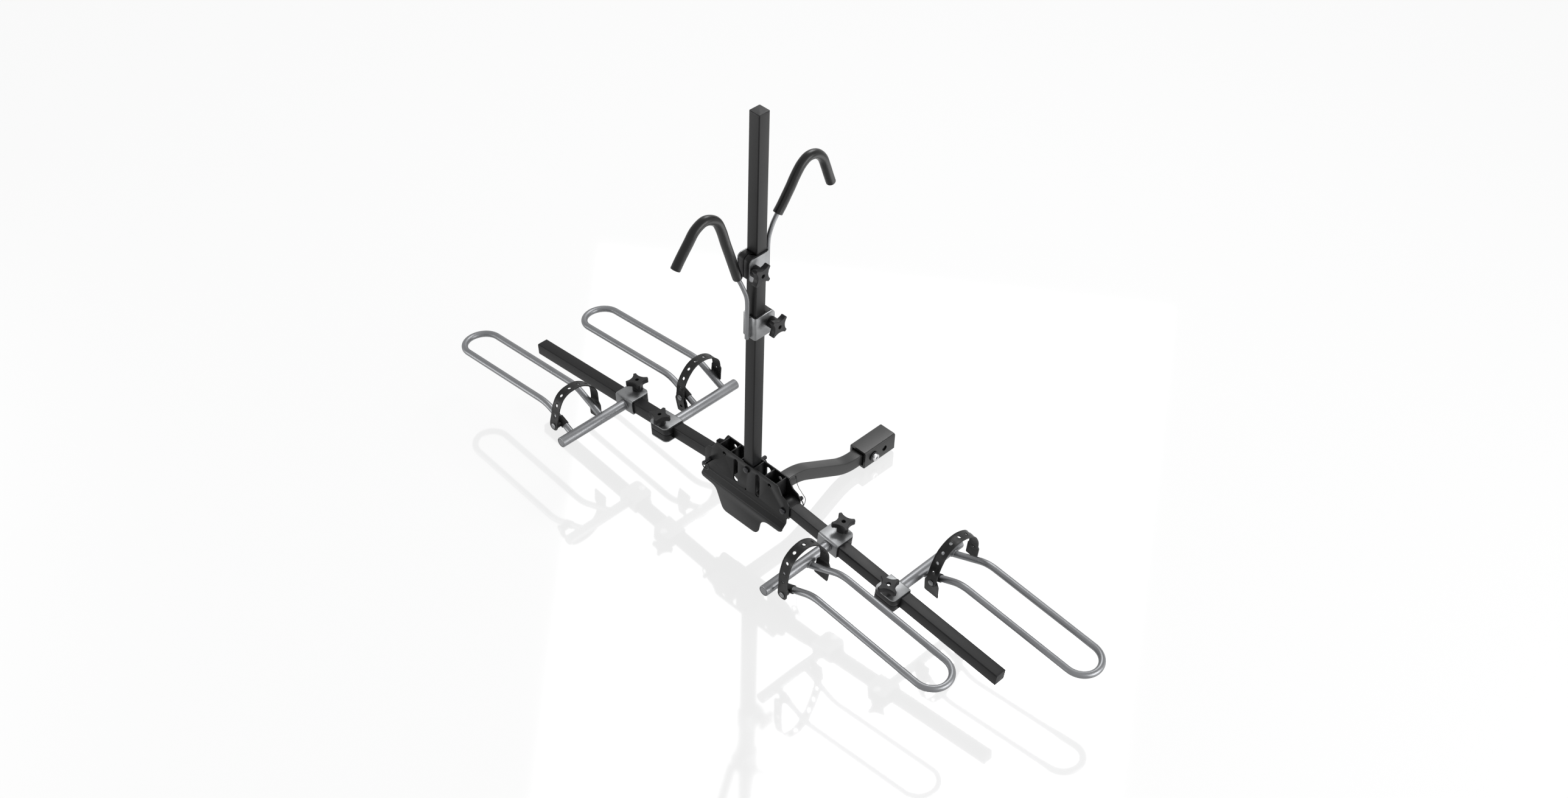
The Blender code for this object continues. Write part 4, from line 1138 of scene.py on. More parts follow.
@dataclass
class Clamp:
    """Folded bracket, split liner and star knob that grip a square tube.

    place takes millimetres along the tube (x), to the open side (y) and to the knob (z).
    """

    label: str
    body: str
    knob_body: str
    place: Matrix
    knob_turn: float
    bolt_sunk: float = 9.0
    length: float = 58.4
    plate: float = 3.0
    fold: float = 5.0
    inner: float = 16.6
    reach: float = 38.5
    corner: float = 12.0
    liner_length: float = 60.8
    liner_reach: float = 37.4
    slit: float = 1.4
    bolt_at: float = 27.0
    rise: float = 27.2
    head: float = 13.0
    tip_radius: float = 27.0
    tip_half: float = 3.5
    waist: float = 15.5
    hub: float = 13.0
    socket: float = 4.6
    socket_depth: float = 7.0

    @property
    def knob_face(self) -> float:
        """How high the knob stands on the bracket."""
        return self.inner + self.plate + GAP

    def build_bracket(self) -> None:
        """Fold the bracket out of one sheet and round its ears."""
        outer = self.inner + self.plate
        end = -self.length / 2
        made = Shape()
        line = made.line([(end, self.reach, outer), (end, -outer, outer), (end, -outer, -outer),
                          (end, self.reach, -outer)])
        edges = [item for item in line if isinstance(item, bmesh.types.BMEdge)]
        made.draw_out(edges, Matrix.Translation((self.length, 0, 0)))
        mesh = made.mesh
        folds = [edge for edge in mesh.edges if len(edge.link_faces) == 2]
        bmesh.ops.bevel(mesh, geom=folds, offset=self.fold, offset_type="OFFSET", segments=8,
                        profile=0.5, affect="EDGES", material=-1)
        bmesh.ops.recalc_face_normals(mesh, faces=mesh.faces[:])
        outwards = sum(face.normal.dot(face.calc_center_median()) for face in mesh.faces)
        if outwards < 0:
            bmesh.ops.reverse_faces(mesh, faces=mesh.faces[:])
        bmesh.ops.solidify(mesh, geom=mesh.faces[:], thickness=self.plate)
        half = self.length / 2 - 0.1
        made.round_off(self.corner, 10, 60.0, lambda edge: self.is_ear(edge, self.reach, half))
        made.round_off(0.6, 2, 50.0)
        made.piece(f"{self.label}_clamp_plate", PLATED_SHEET, self.body, self.place,
                   [f"{self.label}_clamp_bracket"], 28)

    def is_ear(self, edge: bmesh.types.BMEdge, reach: float, half: float) -> bool:
        """Whether an edge is the upright corner of an ear.

        Args:
            edge: the edge.
            reach: how far the ear reaches.
            half: how far along the tube the ear's corners stand, at least.

        Returns:
            True for a corner of an ear.
        """
        first, second = (vert.co for vert in edge.verts)
        return (min(first.y, second.y) > reach - 0.1 and min(abs(first.x), abs(second.x)) > half
                and first.x * second.x > 0)

    def build_liner(self) -> None:
        """Build the split nylon liner with its rounded jaws."""
        skin = self.inner - GAP
        inner = skin - 1.0
        slit = self.slit / 2
        corners = [(-skin, -skin, 2.4), (self.liner_reach, -skin, 0), (self.liner_reach, -slit, 0),
                   (inner, -slit, 0), (inner, -inner, 0), (-inner, -inner, 0), (-inner, inner, 0),
                   (inner, inner, 0), (inner, slit, 0), (self.liner_reach, slit, 0),
                   (self.liner_reach, skin, 0), (-skin, skin, 2.4)]
        made = Shape()
        faces = made.fill(made.outline(round_outline(corners)))
        made.lift(faces, Vector((0, 0, self.liner_length)))
        made.flatten()
        half = self.liner_length / 2
        made.bend(lambda spot: Vector((spot.z - half, spot.x, spot.y)))
        made.round_off(self.corner, 10, 60.0,
                       lambda edge: self.is_ear(edge, self.liner_reach, half - 0.1))
        made.round_off(0.5, 2, 50.0)
        made.piece(f"{self.label}_liner_moulded", NYLON, self.body, self.place,
                   [f"{self.label}_clamp_liner"], 28)

    def star(self) -> Outline:
        """Draw the knob: four blunt arms with hollows between them.

        Returns:
            Its outline.
        """
        tip = math.atan2(self.tip_half, self.tip_radius)
        top = self.tip_radius ** 2 + self.tip_half ** 2 - self.waist ** 2
        centre = top / (math.sqrt(2) * (self.tip_radius + self.tip_half) - 2 * self.waist)
        hollow = centre - self.waist
        points = []
        steps = 12
        for quarter in range(4):
            base = quarter * math.pi / 2
            for share in (-1, 1):
                points.append((self.tip_radius / math.cos(tip), base + share * tip))
            for step in range(1, steps):
                turn = tip + (math.pi / 2 - 2 * tip) * step / steps
                offset = turn - math.pi / 4
                reach = (centre * math.cos(offset)
                         - math.sqrt(hollow ** 2 - (centre * math.sin(offset)) ** 2))
                points.append((reach, base + turn))
        return [(reach * math.cos(turn), reach * math.sin(turn)) for reach, turn in points]

    def build_knob(self) -> None:
        """Build the star knob: a head round a socket, over its hub."""
        made = Shape()
        face = self.knob_face
        top = face + self.rise
        base = top - self.head
        rim = made.outline(self.star(), base)
        upper = made.draw_out(rim, Matrix.Translation((0, 0, self.head)))
        socket = made.outline(ring_outline(0, 0, self.socket), top)
        made.fill(upper + socket)
        floor = made.draw_out(socket, Matrix.Translation((0, 0, -self.socket_depth)))
        bmesh.ops.contextual_create(made.mesh, geom=floor)
        hub = made.outline(ring_outline(0, 0, self.hub), base)
        made.fill(rim + hub)
        foot = made.draw_out(hub, Matrix.Translation((0, 0, face - base)))
        bmesh.ops.contextual_create(made.mesh, geom=foot)
        made.flatten()
        made.round_off(1.6, 3, 50.0, lambda edge: max(
            math.hypot(vert.co.x, vert.co.y) for vert in edge.verts) > self.hub + 0.5)
        made.round_off(0.7, 2, 50.0)
        flats = [flat for flat in made.mesh.faces if abs(flat.normal.z) > 0.999
                 and flat.calc_area() > 100]
        bmesh.ops.inset_individual(made.mesh, faces=flats, thickness=0.5, use_even_offset=True)
        made.move(self.knob_place())
        made.piece(f"{self.label}_star_knob", NYLON, self.knob_body, self.place,
                   [f"{self.label}_clamp_knob"], 32)

    def knob_place(self) -> Matrix:
        """Where the knob's axis stands, with the knob turned as it is left."""
        return Matrix.Translation((0, self.bolt_at, 0)) @ Matrix.Rotation(
            math.radians(self.knob_turn), 4, "Z")

    def build_bolt(self) -> None:
        """Build the clamp bolt, whose end shows in the knob and whose head is below."""
        made = Shape()
        face = self.knob_face
        end = face + self.rise - self.bolt_sunk
        made.turn([(0, -face - 3.4), (3.5, -face - 3.3), (6.4, -face - 2.7), (8.4, -face - 1.5),
                   (9, -face - 0.4), (9, -face), (4, -face), (4, end - 0.7), (3.2, end),
                   (0, end)], 32)
        made.move(self.knob_place())
        made.piece(f"{self.label}_clamp_bolt", BRIGHT_ZINC, self.knob_body, self.place)

    def build(self) -> None:
        """Build the clamp."""
        self.build_bracket()
        self.build_liner()
        self.build_knob()
        self.build_bolt()


@dataclass
class Strap:
    """Rubber strap over one wheel's place, carried by a band round the front rail.

    place takes millimetres from the strap's middle along the rails (x), from the loop's
    centre across (y) and up (z). The line is (y, z); the start, the stud, the first hole and
    the pitch of the holes are lengths along it.
    """

    name: str
    body: str
    place: Matrix
    facing: Facing
    line: tuple
    rail: Vector
    slope: float
    start: float
    stud_at: float
    first_hole: float
    pitch: float
    thickness: float = 3.2
    half: float = 13.0
    tab_half: float = 20.0
    tab_length: float = 52.0
    tab_level: tuple[float, float] = (-4.2, -1.6)
    foot_half: float = 16.0
    foot_length: float = 38.0
    holes_clear: tuple[float, float] = (8.0, 76.0)
    hole: float = 4.0
    pin_hole: float = 2.4
    rim: float = 1.7
    sunk: tuple[float, float] = (0.6, 0.8)
    bore: float = 8.2
    band: float = 9.9
    band_length: float = 24.0
    neck: tuple[float, float] = (16.0, 10.0)

    def __post_init__(self) -> None:
        """Measure the strap's middle line."""
        self.path = even_path(smooth_path([Vector((0, y, z)) for y, z in self.line]), 4.0)
        self.lengths = [0.0]
        for start, end in zip(self.path, self.path[1:]):
            self.lengths.append(self.lengths[-1] + (end - start).length)

    def carry(self, spot: Vector) -> Vector:
        """Carry one point of the flat strap onto its line.

        Args:
            spot: across, along and out of the flat strap.

        Returns:
            The point on the bent strap.
        """
        last = len(self.path) - 1
        share = min(max(spot.y / self.lengths[-1], 0.0), 1.0) * last
        index = min(int(share), last - 1)
        at = self.path[index].lerp(self.path[index + 1], share - index)
        slopes = [(self.path[min(near + 1, last)] - self.path[max(near - 1, 0)]).normalized()
                  for near in (index, index + 1)]
        slope = slopes[0].lerp(slopes[1], share - index).normalized()
        return at + Vector((spot.x, -slope.z * spot.z, slope.y * spot.z))

    def sheet(self, half: list[tuple[float, float, float]], holes: list[Outline], low: float,
              high: float) -> Shape:
        """Flat sheet with raised rims along its edges and round its holes.

        Args:
            half: corners of its right half, from its start.
            holes: outlines of its holes.
            low: height of its inner face.
            high: height of its outer face.

        Returns:
            The sheet, cut across where the strap bends.
        """
        made = Shape()
        edges = made.outline(round_outline(half + [(-x, y, r) for x, y, r in half[::-1]]), low)
        for hole in holes:
            edges += made.outline(hole, low)
        made.lift(made.fill(edges), Vector((0, 0, high - low)))
        made.tidy()
        for height, sink in ((high, -self.sunk[1]), (low, self.sunk[0])):
            region = [face for face in made.mesh.faces
                      if all(abs(vert.co.z - height) < MERGE for vert in face.verts)]
            bmesh.ops.inset_region(made.mesh, faces=region, thickness=self.rim, depth=0.0,
                                   use_boundary=True, use_even_offset=True)
            verts = list({vert for face in region for vert in face.verts})
            bmesh.ops.translate(made.mesh, vec=(0, 0, sink), verts=verts)
        made.round_off(0.4, 2, 75.0)
        made.slice(self.lengths[1:-1], (0, 1, 0))
        return made

    def holes(self) -> list[Outline]:
        """Draw the holes, at an even pitch on either side of the stud.

        Returns:
            Their outlines.
        """
        stations = [2 * self.stud_at - self.first_hole]
        stations += [self.first_hole + self.pitch * step for step in range(20)]
        made = [ring_outline(0, station, self.hole, 24) for station in stations
                if self.start + self.holes_clear[0] < station
                < self.lengths[-1] - self.holes_clear[1]]
        if self.facing is Facing.REAR:
            made.append(ring_outline(0, self.lengths[-1] - 30, self.pin_hole, 16))
        return made

    def build_rubber(self) -> None:
        """Bend the strap, and add the tab behind it and the band round the rail."""
        end, narrow, wide, foot = self.lengths[-1], self.half, self.tab_half, self.foot_half
        if self.facing is Facing.FRONT:
            tail = [(narrow, end - self.tab_length, 6), (wide, end - self.tab_length + 10, 4),
                    (wide, end, 3)]
        else:
            tail = [(narrow, end - self.foot_length, 3), (foot, end - self.foot_length + 4, 3),
                    (foot, end, 3)]
        made = self.sheet([(narrow, self.start, 11), *tail], self.holes(), -self.thickness / 2,
                          self.thickness / 2)
        if self.facing is Facing.REAR:
            made.join(self.sheet([(wide, 0, 3), (wide, self.tab_length - 10, 4),
                                  (narrow, self.tab_length + 4, 5)], [], *self.tab_level))
        made.bend(self.carry)
        made.join(self.rail_band())
        made.piece(f"{self.name}_strap_moulded", RUBBER, self.body, self.place,
                   [f"{self.name}_strap"], 40)

    def rail_band(self) -> Shape:
        """Shape the band round the front rail, with the neck that ties it to the strap.

        Returns:
            Both, as one shape.
        """
        made = Shape()
        reach = self.band_length / 2
        edges = made.outline(ring_outline(0, 0, self.bore), -reach)
        edges += made.outline(ring_outline(0, 0, self.band), -reach)
        made.lift(made.fill(edges), Vector((0, 0, 2 * reach)))
        made.flatten()
        made.round_off(0.9, 3, 50.0)
        made.move(Matrix.Translation(self.rail)
                  @ Matrix.Rotation(math.pi / 2 - self.slope, 4, "Y"))
        strap = next(a.lerp(b, (self.rail.z - a.z) / (b.z - a.z)).y
                     for a, b in zip(self.path, self.path[1:]) if a.z <= self.rail.z <= b.z)
        near = self.rail.y - self.bore - 0.6
        neck = Shape()
        neck.box((self.neck[0], near - strap, self.neck[1]),
                 (0, (near + strap) / 2, self.rail.z))
        neck.round_off(1.2, 3, 60.0)
        made.join(neck)
        return made

    def build_stud(self) -> None:
        """Press the domed stud into its hole."""
        made = Shape()
        face = self.thickness / 2
        made.turn([(0, -face - 1.2), (3.4, -face - 1.2), (3.4, face - 0.6), (6.7, face - 0.6),
                   (7, face - 0.3), (7, face + 0.5), (6.6, face + 1.1), (5.2, face + 1.7),
                   (2.8, face + 2.1), (0, face + 2.2)], 32)
        spots = [self.carry(Vector((0, self.stud_at + step, 0))) for step in (-0.5, 0, 0.5)]
        slope = (spots[2] - spots[0]).normalized()
        normal = Vector((0, -slope.z, slope.y))
        turn = Matrix((slope.cross(normal), slope, normal)).transposed().to_4x4()
        made.move(Matrix.Translation(spots[1]) @ turn)
        made.piece(f"{self.name}_strap_stud", PLATED_SHEET, self.body, self.place)

    def build(self) -> None:
        """Build the strap and its stud."""
        self.build_rubber()
        self.build_stud()


@dataclass
class Holder:
    """Wheel holder: cross tube, wheel loop, clamp and rubber strap.

    The station is how far along the arm the cross tube stands, and the offset how far across
    it the loop's middle stands. The strap's marks are its stud, its first hole and their pitch.
    """

    name: str
    side: Side
    facing: Facing
    station: float
    offset: float
    knob_turn: float
    strap_at: float
    strap_start: float
    bolt_sunk: float
    strap_marks: tuple[float, float, float]
    strap_line: tuple
    tube: float = 12.7
    tube_drop: float = 1.4
    tube_start: float = 19.9
    tube_end: float = 216.5
    rod: float = 7.9
    half: float = 45.0
    foot: float = -14.0
    level: float = 40.5
    kink: float = 100.0
    kink_radius: float = 90.0
    far: float = 401.0

    @property
    def body(self) -> str:
        """The body that the holder rides on."""
        return f"{self.name}_holder"

    def place(self) -> Matrix:
        """From millimetres past the cross tube, across and up to the rack's metres."""
        return ArmAxes(self.side).matrix() @ Matrix.Translation((self.station, 0, 0))

    def build_clamp(self) -> None:
        """Build the clamp that holds the cross tube to the arm."""
        turn = Matrix(((1, 0, 0, 0), (0, -self.facing.value, 0, 0), (0, 0, 1, 0), (0, 0, 0, 1)))
        Clamp(self.name, self.body, f"{self.name}_knob", self.place() @ turn,
              self.knob_turn, self.bolt_sunk).build()

    def build_tube(self) -> None:
        """Build the cross tube with its rolled free end, and the weld at the clamp."""
        made = Shape()
        start, end, radius = self.tube_start, self.tube_end, self.tube
        bore = radius - 2
        made.turn([(0, start), (radius, start), (radius, end - 1.6), (radius - 0.5, end - 0.5),
                   (radius - 1.4, end), (bore, end), (bore - 0.2, end - 1.2), (bore - 1, end - 1.2),
                   (bore - 1.3, end - 0.3), (0, end - 0.3)], 48)
        made.move(Matrix.Translation((0, 0, -self.tube_drop)) @ Matrix.Rotation(
            math.radians(-90 * self.facing.value), 4, "X"))
        made.piece(f"{self.name}_tube", SILVER_COAT, self.body, self.place(),
                   [f"{self.name}_cross_tube"])
        ring = [Vector((radius * math.cos(turn), self.facing.value * (start + 0.7),
                        radius * math.sin(turn) - self.tube_drop))
                for turn in (2 * math.pi * step / 60 for step in range(62))]
        ripple = [1.2 + 0.25 * math.sin(1.7 * step) for step in range(len(ring))]
        bead = Shape()
        bead.sweep(stations_along(ring, ripple), 10)
        bead.piece(f"{self.name}_tube_weld", SILVER_COAT, self.body, self.place())

    def rail(self, y: float) -> list[Vector]:
        """Middle line of one rail, from the cross tube outwards.

        Args:
            y: how far across the rail stands.

        Returns:
            The points.
        """
        return round_path([((0, y, self.foot), 0), ((self.kink, y, self.level), self.kink_radius),
                           ((self.far, y, self.level), 0)], 2.0)

    def build_loop(self) -> None:
        """Bend the wheel loop out of one rod, and weld its two ends on."""
        centre = self.facing.value * self.offset
        near, back = self.rail(centre - self.half), self.rail(centre + self.half)
        path = near + [Vector((self.far + self.half * math.sin(turn),
                               centre - self.half * math.cos(turn), self.level))
                       for turn in (math.pi * step / 36 for step in range(1, 36))] + back[::-1]
        ahead = (path[1] - path[0]).normalized()
        made = Shape()
        made.sweep(stations_along(path, self.rod, Vector((0, 1, 0))), 28)
        made.piece(f"{self.name}_loop_rod", SILVER_COAT, self.body, self.place(),
                   [f"{self.name}_wheel_loop"])
        for label, y in (("near", centre - self.half), ("far", centre + self.half)):
            self.build_saddle(label, y, ahead)

    def build_saddle(self, label: str, y: float, ahead: Vector) -> None:
        """Build the weld bead over a rail, where it runs in under the cross tube.

        Args:
            label: which rail.
            y: how far across it stands.
            ahead: the rail's heading there.
        """
        upright = Vector((-ahead.z, 0, ahead.x))
        ring = []
        steps = 36
        for step in range(steps + 1):
            turn = math.radians(-12 + 204 * step / steps)
            at = Vector((0, y + self.rod * math.cos(turn), self.foot)) + upright * (
                self.rod * math.sin(turn))
            gap = Vector((at.x, 0, at.z + self.tube_drop))
            along = gap.dot(ahead)
            reach = -along + math.sqrt(max(along ** 2 - gap.length_squared + self.tube ** 2, 0.0))
            ring.append(at + ahead * reach)
        ripple = [2.4 + 0.35 * math.sin(1.3 * step) + 0.2 * math.sin(2.9 * step)
                  for step in range(len(ring))]
        ripple[0] = ripple[-1] = 0.8
        bead = Shape()
        bead.sweep(stations_along(ring, ripple), 10)
        bead.piece(f"{self.name}_{label}_weld", SILVER_COAT, self.body, self.place())

    def build_strap(self) -> None:
        """Build the strap on the loop's front rail."""
        slope = math.atan2(self.level - self.foot, self.kink)
        rail = Vector((0, -self.half, self.strap_at * math.tan(slope) + self.foot))
        shift = Matrix.Translation((self.strap_at, self.facing.value * self.offset, 0))
        Strap(self.name, self.body, self.place() @ shift, self.facing, self.strap_line, rail,
              slope, self.strap_start, *self.strap_marks).build()

    def build(self) -> None:
        """Build the holder."""
        self.build_clamp()
        self.build_tube()
        self.build_loop()
        self.build_strap()


@dataclass
class Hook:
    """Padded hook arm on the mast, with the clamp that holds it.

    The line is (y, z), and the foam starts at its point foam_from.
    """

    name: str
    facing: Facing
    x: float
    clamp_z: float
    line: tuple
    rod: float = 5.0
    foam: float = 10.9
    foam_from: int = 6
    knob_turn: float = 45.0
    weld_y: float = 19.9

    def path(self) -> list[Vector]:
        """Middle line of the rod and the foam."""
        return smooth_path([Vector((0, y, z)) for y, z in self.line])

    def build_rod(self) -> None:
        """Build the bent rod."""
        path = self.path()
        end = path[-1] + (path[-2] - path[-1]).normalized() * 3
        path = [spot for spot in path[:-1] if (spot - path[-1]).length > 4] + [end]
        radii = [self.rod - 0.8] + [self.rod] * (len(path) - 1)
        path.insert(0, path[0].copy())
        radii.insert(1, self.rod)
        path[1] = path[0] + (path[2] - path[0]).normalized() * 0.8
        made = Shape()
        made.sweep(stations_along(path, radii), 24)
        made.piece(f"{self.name}_bent_rod", SILVER_COAT, self.name,
                   TO_ROW @ Matrix.Translation((self.x, 0, 0)), [f"{self.name}_rod"])

    def build_foam(self) -> None:
        """Build the foam sleeve with a rolled lip and a small recess at each end."""
        path = self.path()[self.foam_from * CURVE_PIECES:]
        first = (path[1] - path[0]).normalized()
        last = (path[-1] - path[-2]).normalized()
        inside = self.rod + 0.5
        lip = ((0.0, 0.0), (0.0, 1.6), (0.5, 2.3), (1.2, 2.9))
        start = [(path[0] + first * 5, self.rod + GAP)]
        start += [(path[0] + first * depth, inside + (self.foam - inside) * out / lip[-1][1])
                  for depth, out in lip]
        end = [(path[-1] - last * depth, self.foam - cut) for depth, cut in
               ((4.0, 0.0), (1.6, 0.0), (0.7, 0.25), (0.2, 0.75), (0.0, 1.5))]
        end += [(path[-1], inside), (path[-1] - last * 2.5, self.rod + 0.2)]
        middle = [(spot, self.foam) for spot in path
                  if (spot - path[0]).length > 2 and (spot - path[-1]).length > 5]
        headings = [first] * len(start) + [None] * len(middle) + [last] * len(end)
        made = Shape()
        made.sweep(self.foam_stations(start + middle + end, headings), 32)
        made.piece(f"{self.name}_foam_sleeve", FOAM, self.name,
                   TO_ROW @ Matrix.Translation((self.x, 0, 0)), [f"{self.name}_foam"], 50)

    def foam_stations(self, spots: list[tuple[Vector, float]],
                      headings: list[Vector | None]) -> list[Matrix]:
        """Stand the foam's section on its spots, square to the sleeve.

        Args:
            spots: middle points with their radii.
            headings: each point's heading, or None where the points themselves give it.

        Returns:
            The stations.
        """
        made = []
        across = Vector((1, 0, 0))
        for index, ((spot, radius), heading) in enumerate(zip(spots, headings)):
            if heading is None:
                heading = (spots[index + 1][0] - spots[index - 1][0]).normalized()
            turn = Matrix((across, heading.cross(across), heading)).transposed().to_4x4()
            made.append(Matrix.Translation(spot) @ turn @ Matrix.Scale(radius, 4))
        return made

    def build_clamp(self) -> None:
        """Build the clamp on the mast, whose knob looks to +X."""
        turn = Matrix(((0, 0, 1, 0), (0, -self.facing.value, 0, 0), (1, 0, 0, 0), (0, 0, 0, 1)))
        Clamp(self.name, self.name, f"{self.name}_knob",
              TO_ROW @ Matrix.Translation((0, 0, self.clamp_z)) @ turn, self.knob_turn).build()

    def build_welds(self) -> None:
        """Build the two weld beads that hold the rod to the clamp."""
        y = self.facing.value * self.weld_y
        for label, side in (("left", -1), ("right", 1)):
            path = [Vector((self.x + side * 3.6, y, self.clamp_z + z))
                    for z in (-27, -26, -10, 8, 26, 27)]
            made = Shape()
            made.sweep(stations_along(path, [0.5, 1.5, 1.7, 1.6, 1.5, 0.5]), 10)
            made.piece(f"{self.name}_{label}_weld", PLATED_SHEET, self.name, TO_ROW)

    def build(self) -> None:
        """Build the hook."""
        self.build_clamp()
        self.build_rod()
        self.build_foam()
        self.build_welds()


@dataclass
class Studio:
    """Pale floor, soft lights and the camera at the photograph's place, all in metres."""

    floor_z: float = -0.056
    floor_size: float = 40.0
    aim: tuple[float, float, float] = (0.0, -0.4, 0.35)
    camera_at: tuple[float, float, float] = (2.2758, -2.7194, 3.2295)
    right: tuple[float, float, float] = (0.70779, 0.70599, 0.02491)
    up: tuple[float, float, float] = (-0.48046, 0.45523, 0.74963)
    back: tuple[float, float, float] = (0.51788, -0.54254, 0.66140)
    lens: float = 44.94

    def build_camera(self) -> None:
        """Set up the camera."""
        data = bpy.data.cameras.new("camera")
        data.lens = self.lens
        data.sensor_width = 36.0
        data.clip_end = 100.0
        camera = bpy.data.objects.new("camera", data)
        bpy.context.scene.collection.objects.link(camera)
        turn = Matrix((self.right, self.up, self.back)).transposed().to_4x4()
        camera.matrix_world = Matrix.Translation(self.camera_at) @ turn
        bpy.context.scene.camera = camera

    def seen(self, tree: bpy.types.NodeTree, share: float) -> bpy.types.NodeSocket:
        """A value of share for rays that show the background, and 0 for those that light.

        Args:
            tree: the node tree.
            share: the value.

        Returns:
            The socket that gives it.
        """
        path = add_node(tree, "ShaderNodeLightPath").outputs
        both = add_node(tree, "ShaderNodeMath", {"operation": "MAXIMUM"},
                        links={0: path["Is Camera Ray"], 1: path["Is Glossy Ray"]})
        every = add_node(tree, "ShaderNodeMath", {"operation": "MAXIMUM"},
                         links={0: both.outputs[0], 1: path["Is Transmission Ray"]})
        return add_node(tree, "ShaderNodeMath", {"operation": "MULTIPLY"}, {1: share},
                        {0: every.outputs[0]}).outputs[0]

    def build_world(self) -> None:
        """White where it is seen, a plain grey where it lights."""
        world = bpy.data.worlds.new("studio")
        world.use_nodes = True
        tree = world.node_tree
        tree.nodes.clear()
        white = linear("#ffffff")
        light = add_node(tree, "ShaderNodeBackground", values={"Color": white, "Strength": 0.3})
        shown = add_node(tree, "ShaderNodeBackground", values={"Color": white, "Strength": 1.0})
        mixed = add_node(tree, "ShaderNodeMixShader", links={0: self.seen(tree, 1.0),
                                                             1: light.outputs[0],
                                                             2: shown.outputs[0]})
        add_node(tree, "ShaderNodeOutputWorld", links={"Surface": mixed.outputs[0]})
        bpy.context.scene.world = world

    def build_floor(self) -> None:
        """Pale painted floor, which keeps the rack's shadow and its faint mirror image."""
        # White floor paint with a slight polish: it fades into the white behind it.
        material = bpy.data.materials.new("polished_white_floor_paint")
        material.use_nodes = True
        tree = material.node_tree
        tree.nodes.clear()
        paint = add_node(tree, "ShaderNodeBsdfDiffuse", values={"Color": linear("#ececec")})
        white = linear("#ffffff")
        glow = add_node(tree, "ShaderNodeEmission", values={"Color": white, "Strength": 1.0})
        polish = add_node(tree, "ShaderNodeBsdfGlossy", values={"Color": white, "Roughness": 0.06})
        surface = add_node(tree, "ShaderNodeMixShader", links={0: self.seen(tree, 0.6),
                                                               1: paint.outputs[0],
                                                               2: polish.outputs[0]})
        mixed = add_node(tree, "ShaderNodeMixShader", links={0: self.seen(tree, 0.8),
                                                             1: surface.outputs[0],
                                                             2: glow.outputs[0]})
        add_node(tree, "ShaderNodeOutputMaterial", links={"Surface": mixed.outputs[0]})
        mesh = bmesh.new()
        bmesh.ops.create_grid(mesh, x_segments=1, y_segments=1, size=self.floor_size,
                              matrix=Matrix.Translation((0, 0, self.floor_z)))
        data = bpy.data.meshes.new("floor")
        mesh.to_mesh(data)
        mesh.free()
        data.materials.append(material)
        floor = bpy.data.objects.new("floor", data)
        bpy.context.scene.collection.objects.link(floor)

    def add_light(self, name: str, at: Sequence[float], size: tuple[float, float],
                  power: float) -> None:
        """Add a soft box that looks at the rack.

        Args:
            name: its name.
            at: its place in metres.
            size: its width and height in metres.
            power: its power in watts.
        """
        data = bpy.data.lights.new(name, "AREA")
        data.shape = "RECTANGLE"
        data.size, data.size_y = size
        data.energy = power
        lamp = bpy.data.objects.new(name, data)
        bpy.context.scene.collection.objects.link(lamp)
        lamp.location = at
        aim = Vector(self.aim) - Vector(at)
        lamp.rotation_mode = "QUATERNION"
        lamp.rotation_quaternion = aim.to_track_quat("-Z", "Y")

    def add_panel(self, name: str, at: Sequence[float], size: tuple[float, float],
                  power: float) -> None:
        """Lay a soft panel on the floor, out of the camera's sight, that looks up.

        Args:
            name: its name.
            at: its place in metres.
            size: its width and depth in metres.
            power: its power in watts.
        """
        self.add_light(name, at, size, power)
        lamp = bpy.data.objects[name]
        lamp.rotation_quaternion = Vector((0, 0, 1)).to_track_quat("-Z", "Y")
        lamp.visible_camera = False

    def build(self) -> None:
        """Build the studio."""
        self.build_camera()
        self.build_world()
        self.build_floor()
        self.add_light("right_box", at=(3.6, 0.6, 1.3), size=(2.4, 2.0), power=110)
        self.add_light("top_box", at=(-1.7, 1.9, 3.0), size=(2.6, 2.6), power=14)
        self.add_light("arm_box", at=(-0.64, 1.13, 2.5), size=(1.0, 1.0), power=30)
        self.add_light("left_strip", at=(-1.3, -2.5, 0.15), size=(2.5, 0.25), power=24)
        self.add_panel("floor_panel", at=(1.05, 0.75, -0.03), size=(1.5, 1.3), power=10)
        bpy.context.scene.view_settings.view_transform = "Standard"


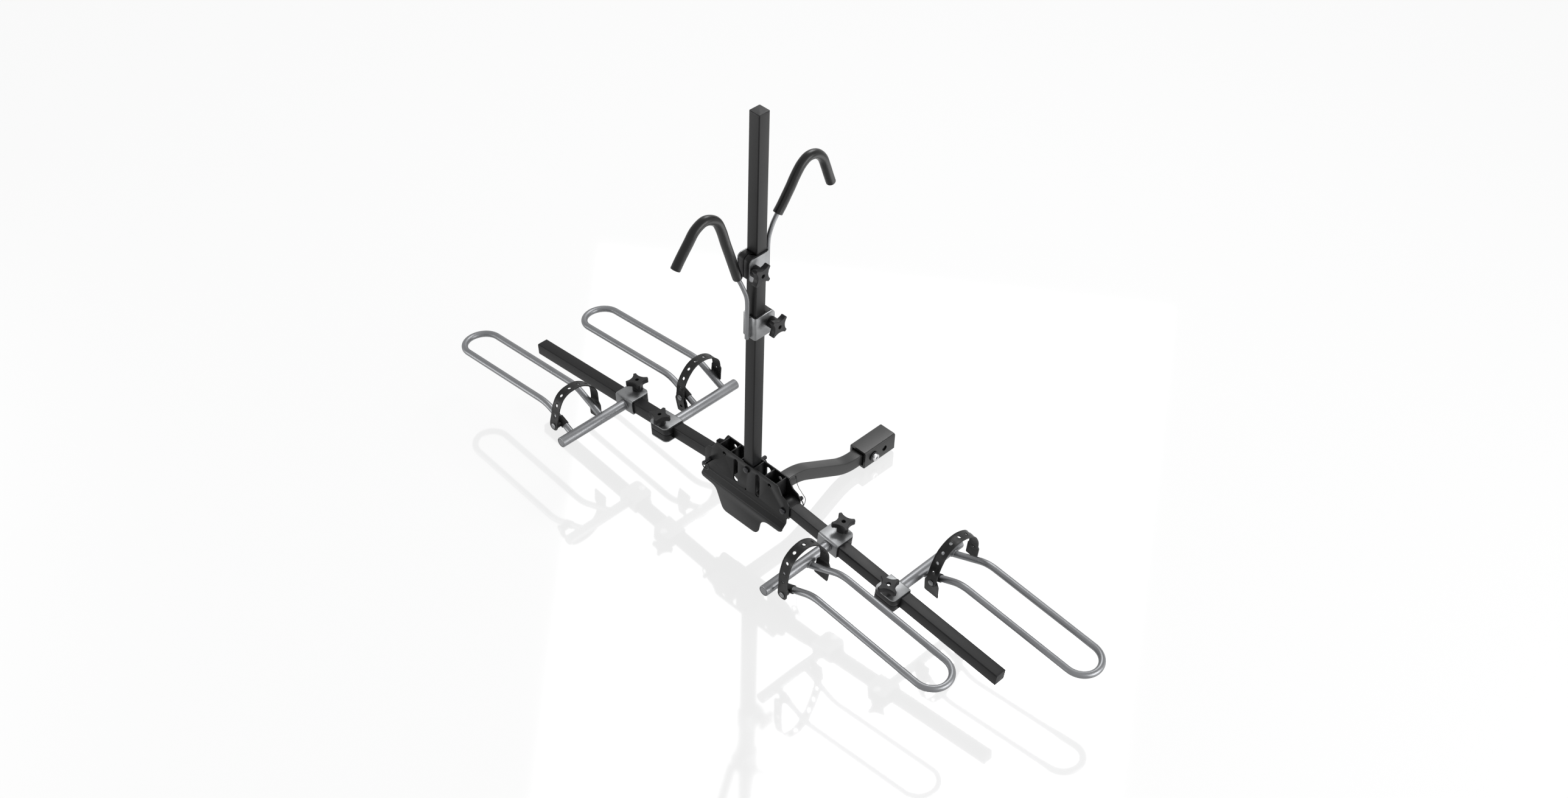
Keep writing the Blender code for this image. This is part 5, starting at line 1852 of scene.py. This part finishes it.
HOLDERS = (
    Holder("front_left", Side.LEFT, Facing.FRONT, station=302.0, offset=126.5, knob_turn=30.0,
           strap_at=47.0, strap_start=0.0, bolt_sunk=9.0, strap_marks=(11.0, 37.4, 26.5),
           strap_line=((-71, 2), (-69, 20), (-62, 40), (-56, 59), (-44, 78), (-28, 88), (-9, 91),
                       (10, 90), (27, 83), (44, 70), (56, 52), (58, 32), (57, 6), (56, -32))),
    Holder("rear_left", Side.LEFT, Facing.REAR, station=161.8, offset=142.3, knob_turn=23.0,
           strap_at=48.0, strap_start=12.0, bolt_sunk=9.0, strap_marks=(50.3, 76.0, 25.6),
           strap_line=((-58, -40), (-61, -18), (-63, 6), (-60, 24), (-57, 40), (-49, 54),
                       (-37, 68), (-21, 80), (-1, 86), (23, 84), (43, 75), (57, 60), (60, 40),
                       (57, 20), (55, 4))),
    Holder("front_right", Side.RIGHT, Facing.FRONT, station=137.9, offset=126.5, knob_turn=60.0,
           strap_at=36.0, strap_start=0.0, bolt_sunk=9.0, strap_marks=(12.5, 56.0, 29.0),
           strap_line=((-68, -8), (-69, 10), (-70, 30), (-72, 64), (-70, 88), (-64, 111),
                       (-48, 127), (-26, 133), (-9, 130), (13, 116), (31, 94), (45, 72), (56, 48),
                       (60, 20), (58, -2), (56, -32))),
    Holder("rear_right", Side.RIGHT, Facing.REAR, station=325.3, offset=142.3, knob_turn=14.0,
           strap_at=38.0, strap_start=37.0, bolt_sunk=4.0, strap_marks=(46.6, 79.5, 27.0),
           strap_line=((-58, -42), (-62, -20), (-65, 4), (-64, 24), (-62, 43), (-55, 67),
                       (-45, 86), (-28, 99), (-10, 104), (11, 102), (34, 92), (51, 78), (66, 52),
                       (71, 30), (72, 8), (72, -8))),
)
HOOKS = (
    Hook("front_hook", Facing.FRONT, x=0.0, clamp_z=456.0,
         line=((-24.9, 426), (-24.9, 480), (-25.1, 520), (-28, 541), (-35.5, 562), (-45, 584),
               (-54.5, 605), (-66.2, 640), (-78, 676), (-90, 712), (-101.2, 748.1),
               (-113.5, 775.4), (-131, 790.6), (-151.6, 796), (-174.7, 785.4), (-192, 764.4),
               (-205, 748), (-217, 732.3), (-227.8, 716.9))),
    Hook("rear_hook", Facing.REAR, x=7.0, clamp_z=620.8,
         line=((24.9, 592), (24.9, 640), (25.2, 660), (27, 674), (31.5, 688), (39, 704.3),
               (50.3, 720.7), (62, 735), (76.9, 756), (88, 772), (99, 789.5), (116.3, 810.7),
               (136.5, 821.4), (159.9, 817), (178.6, 799), (189.8, 773.4), (198.8, 749),
               (208.5, 723.6))),
)


def main() -> None:
    """Build the rack piece by piece, then the studio."""
    logging.basicConfig(level=logging.INFO, format="%(message)s")
    Bracket().build()
    Hitch().build()
    Mast().build()
    LockPins().build()
    for side in Side:
        Arm(side).build()
    for part in (*HOLDERS, *HOOKS):
        part.build()
    Studio().build()


if __name__ == "__main__":
    main()
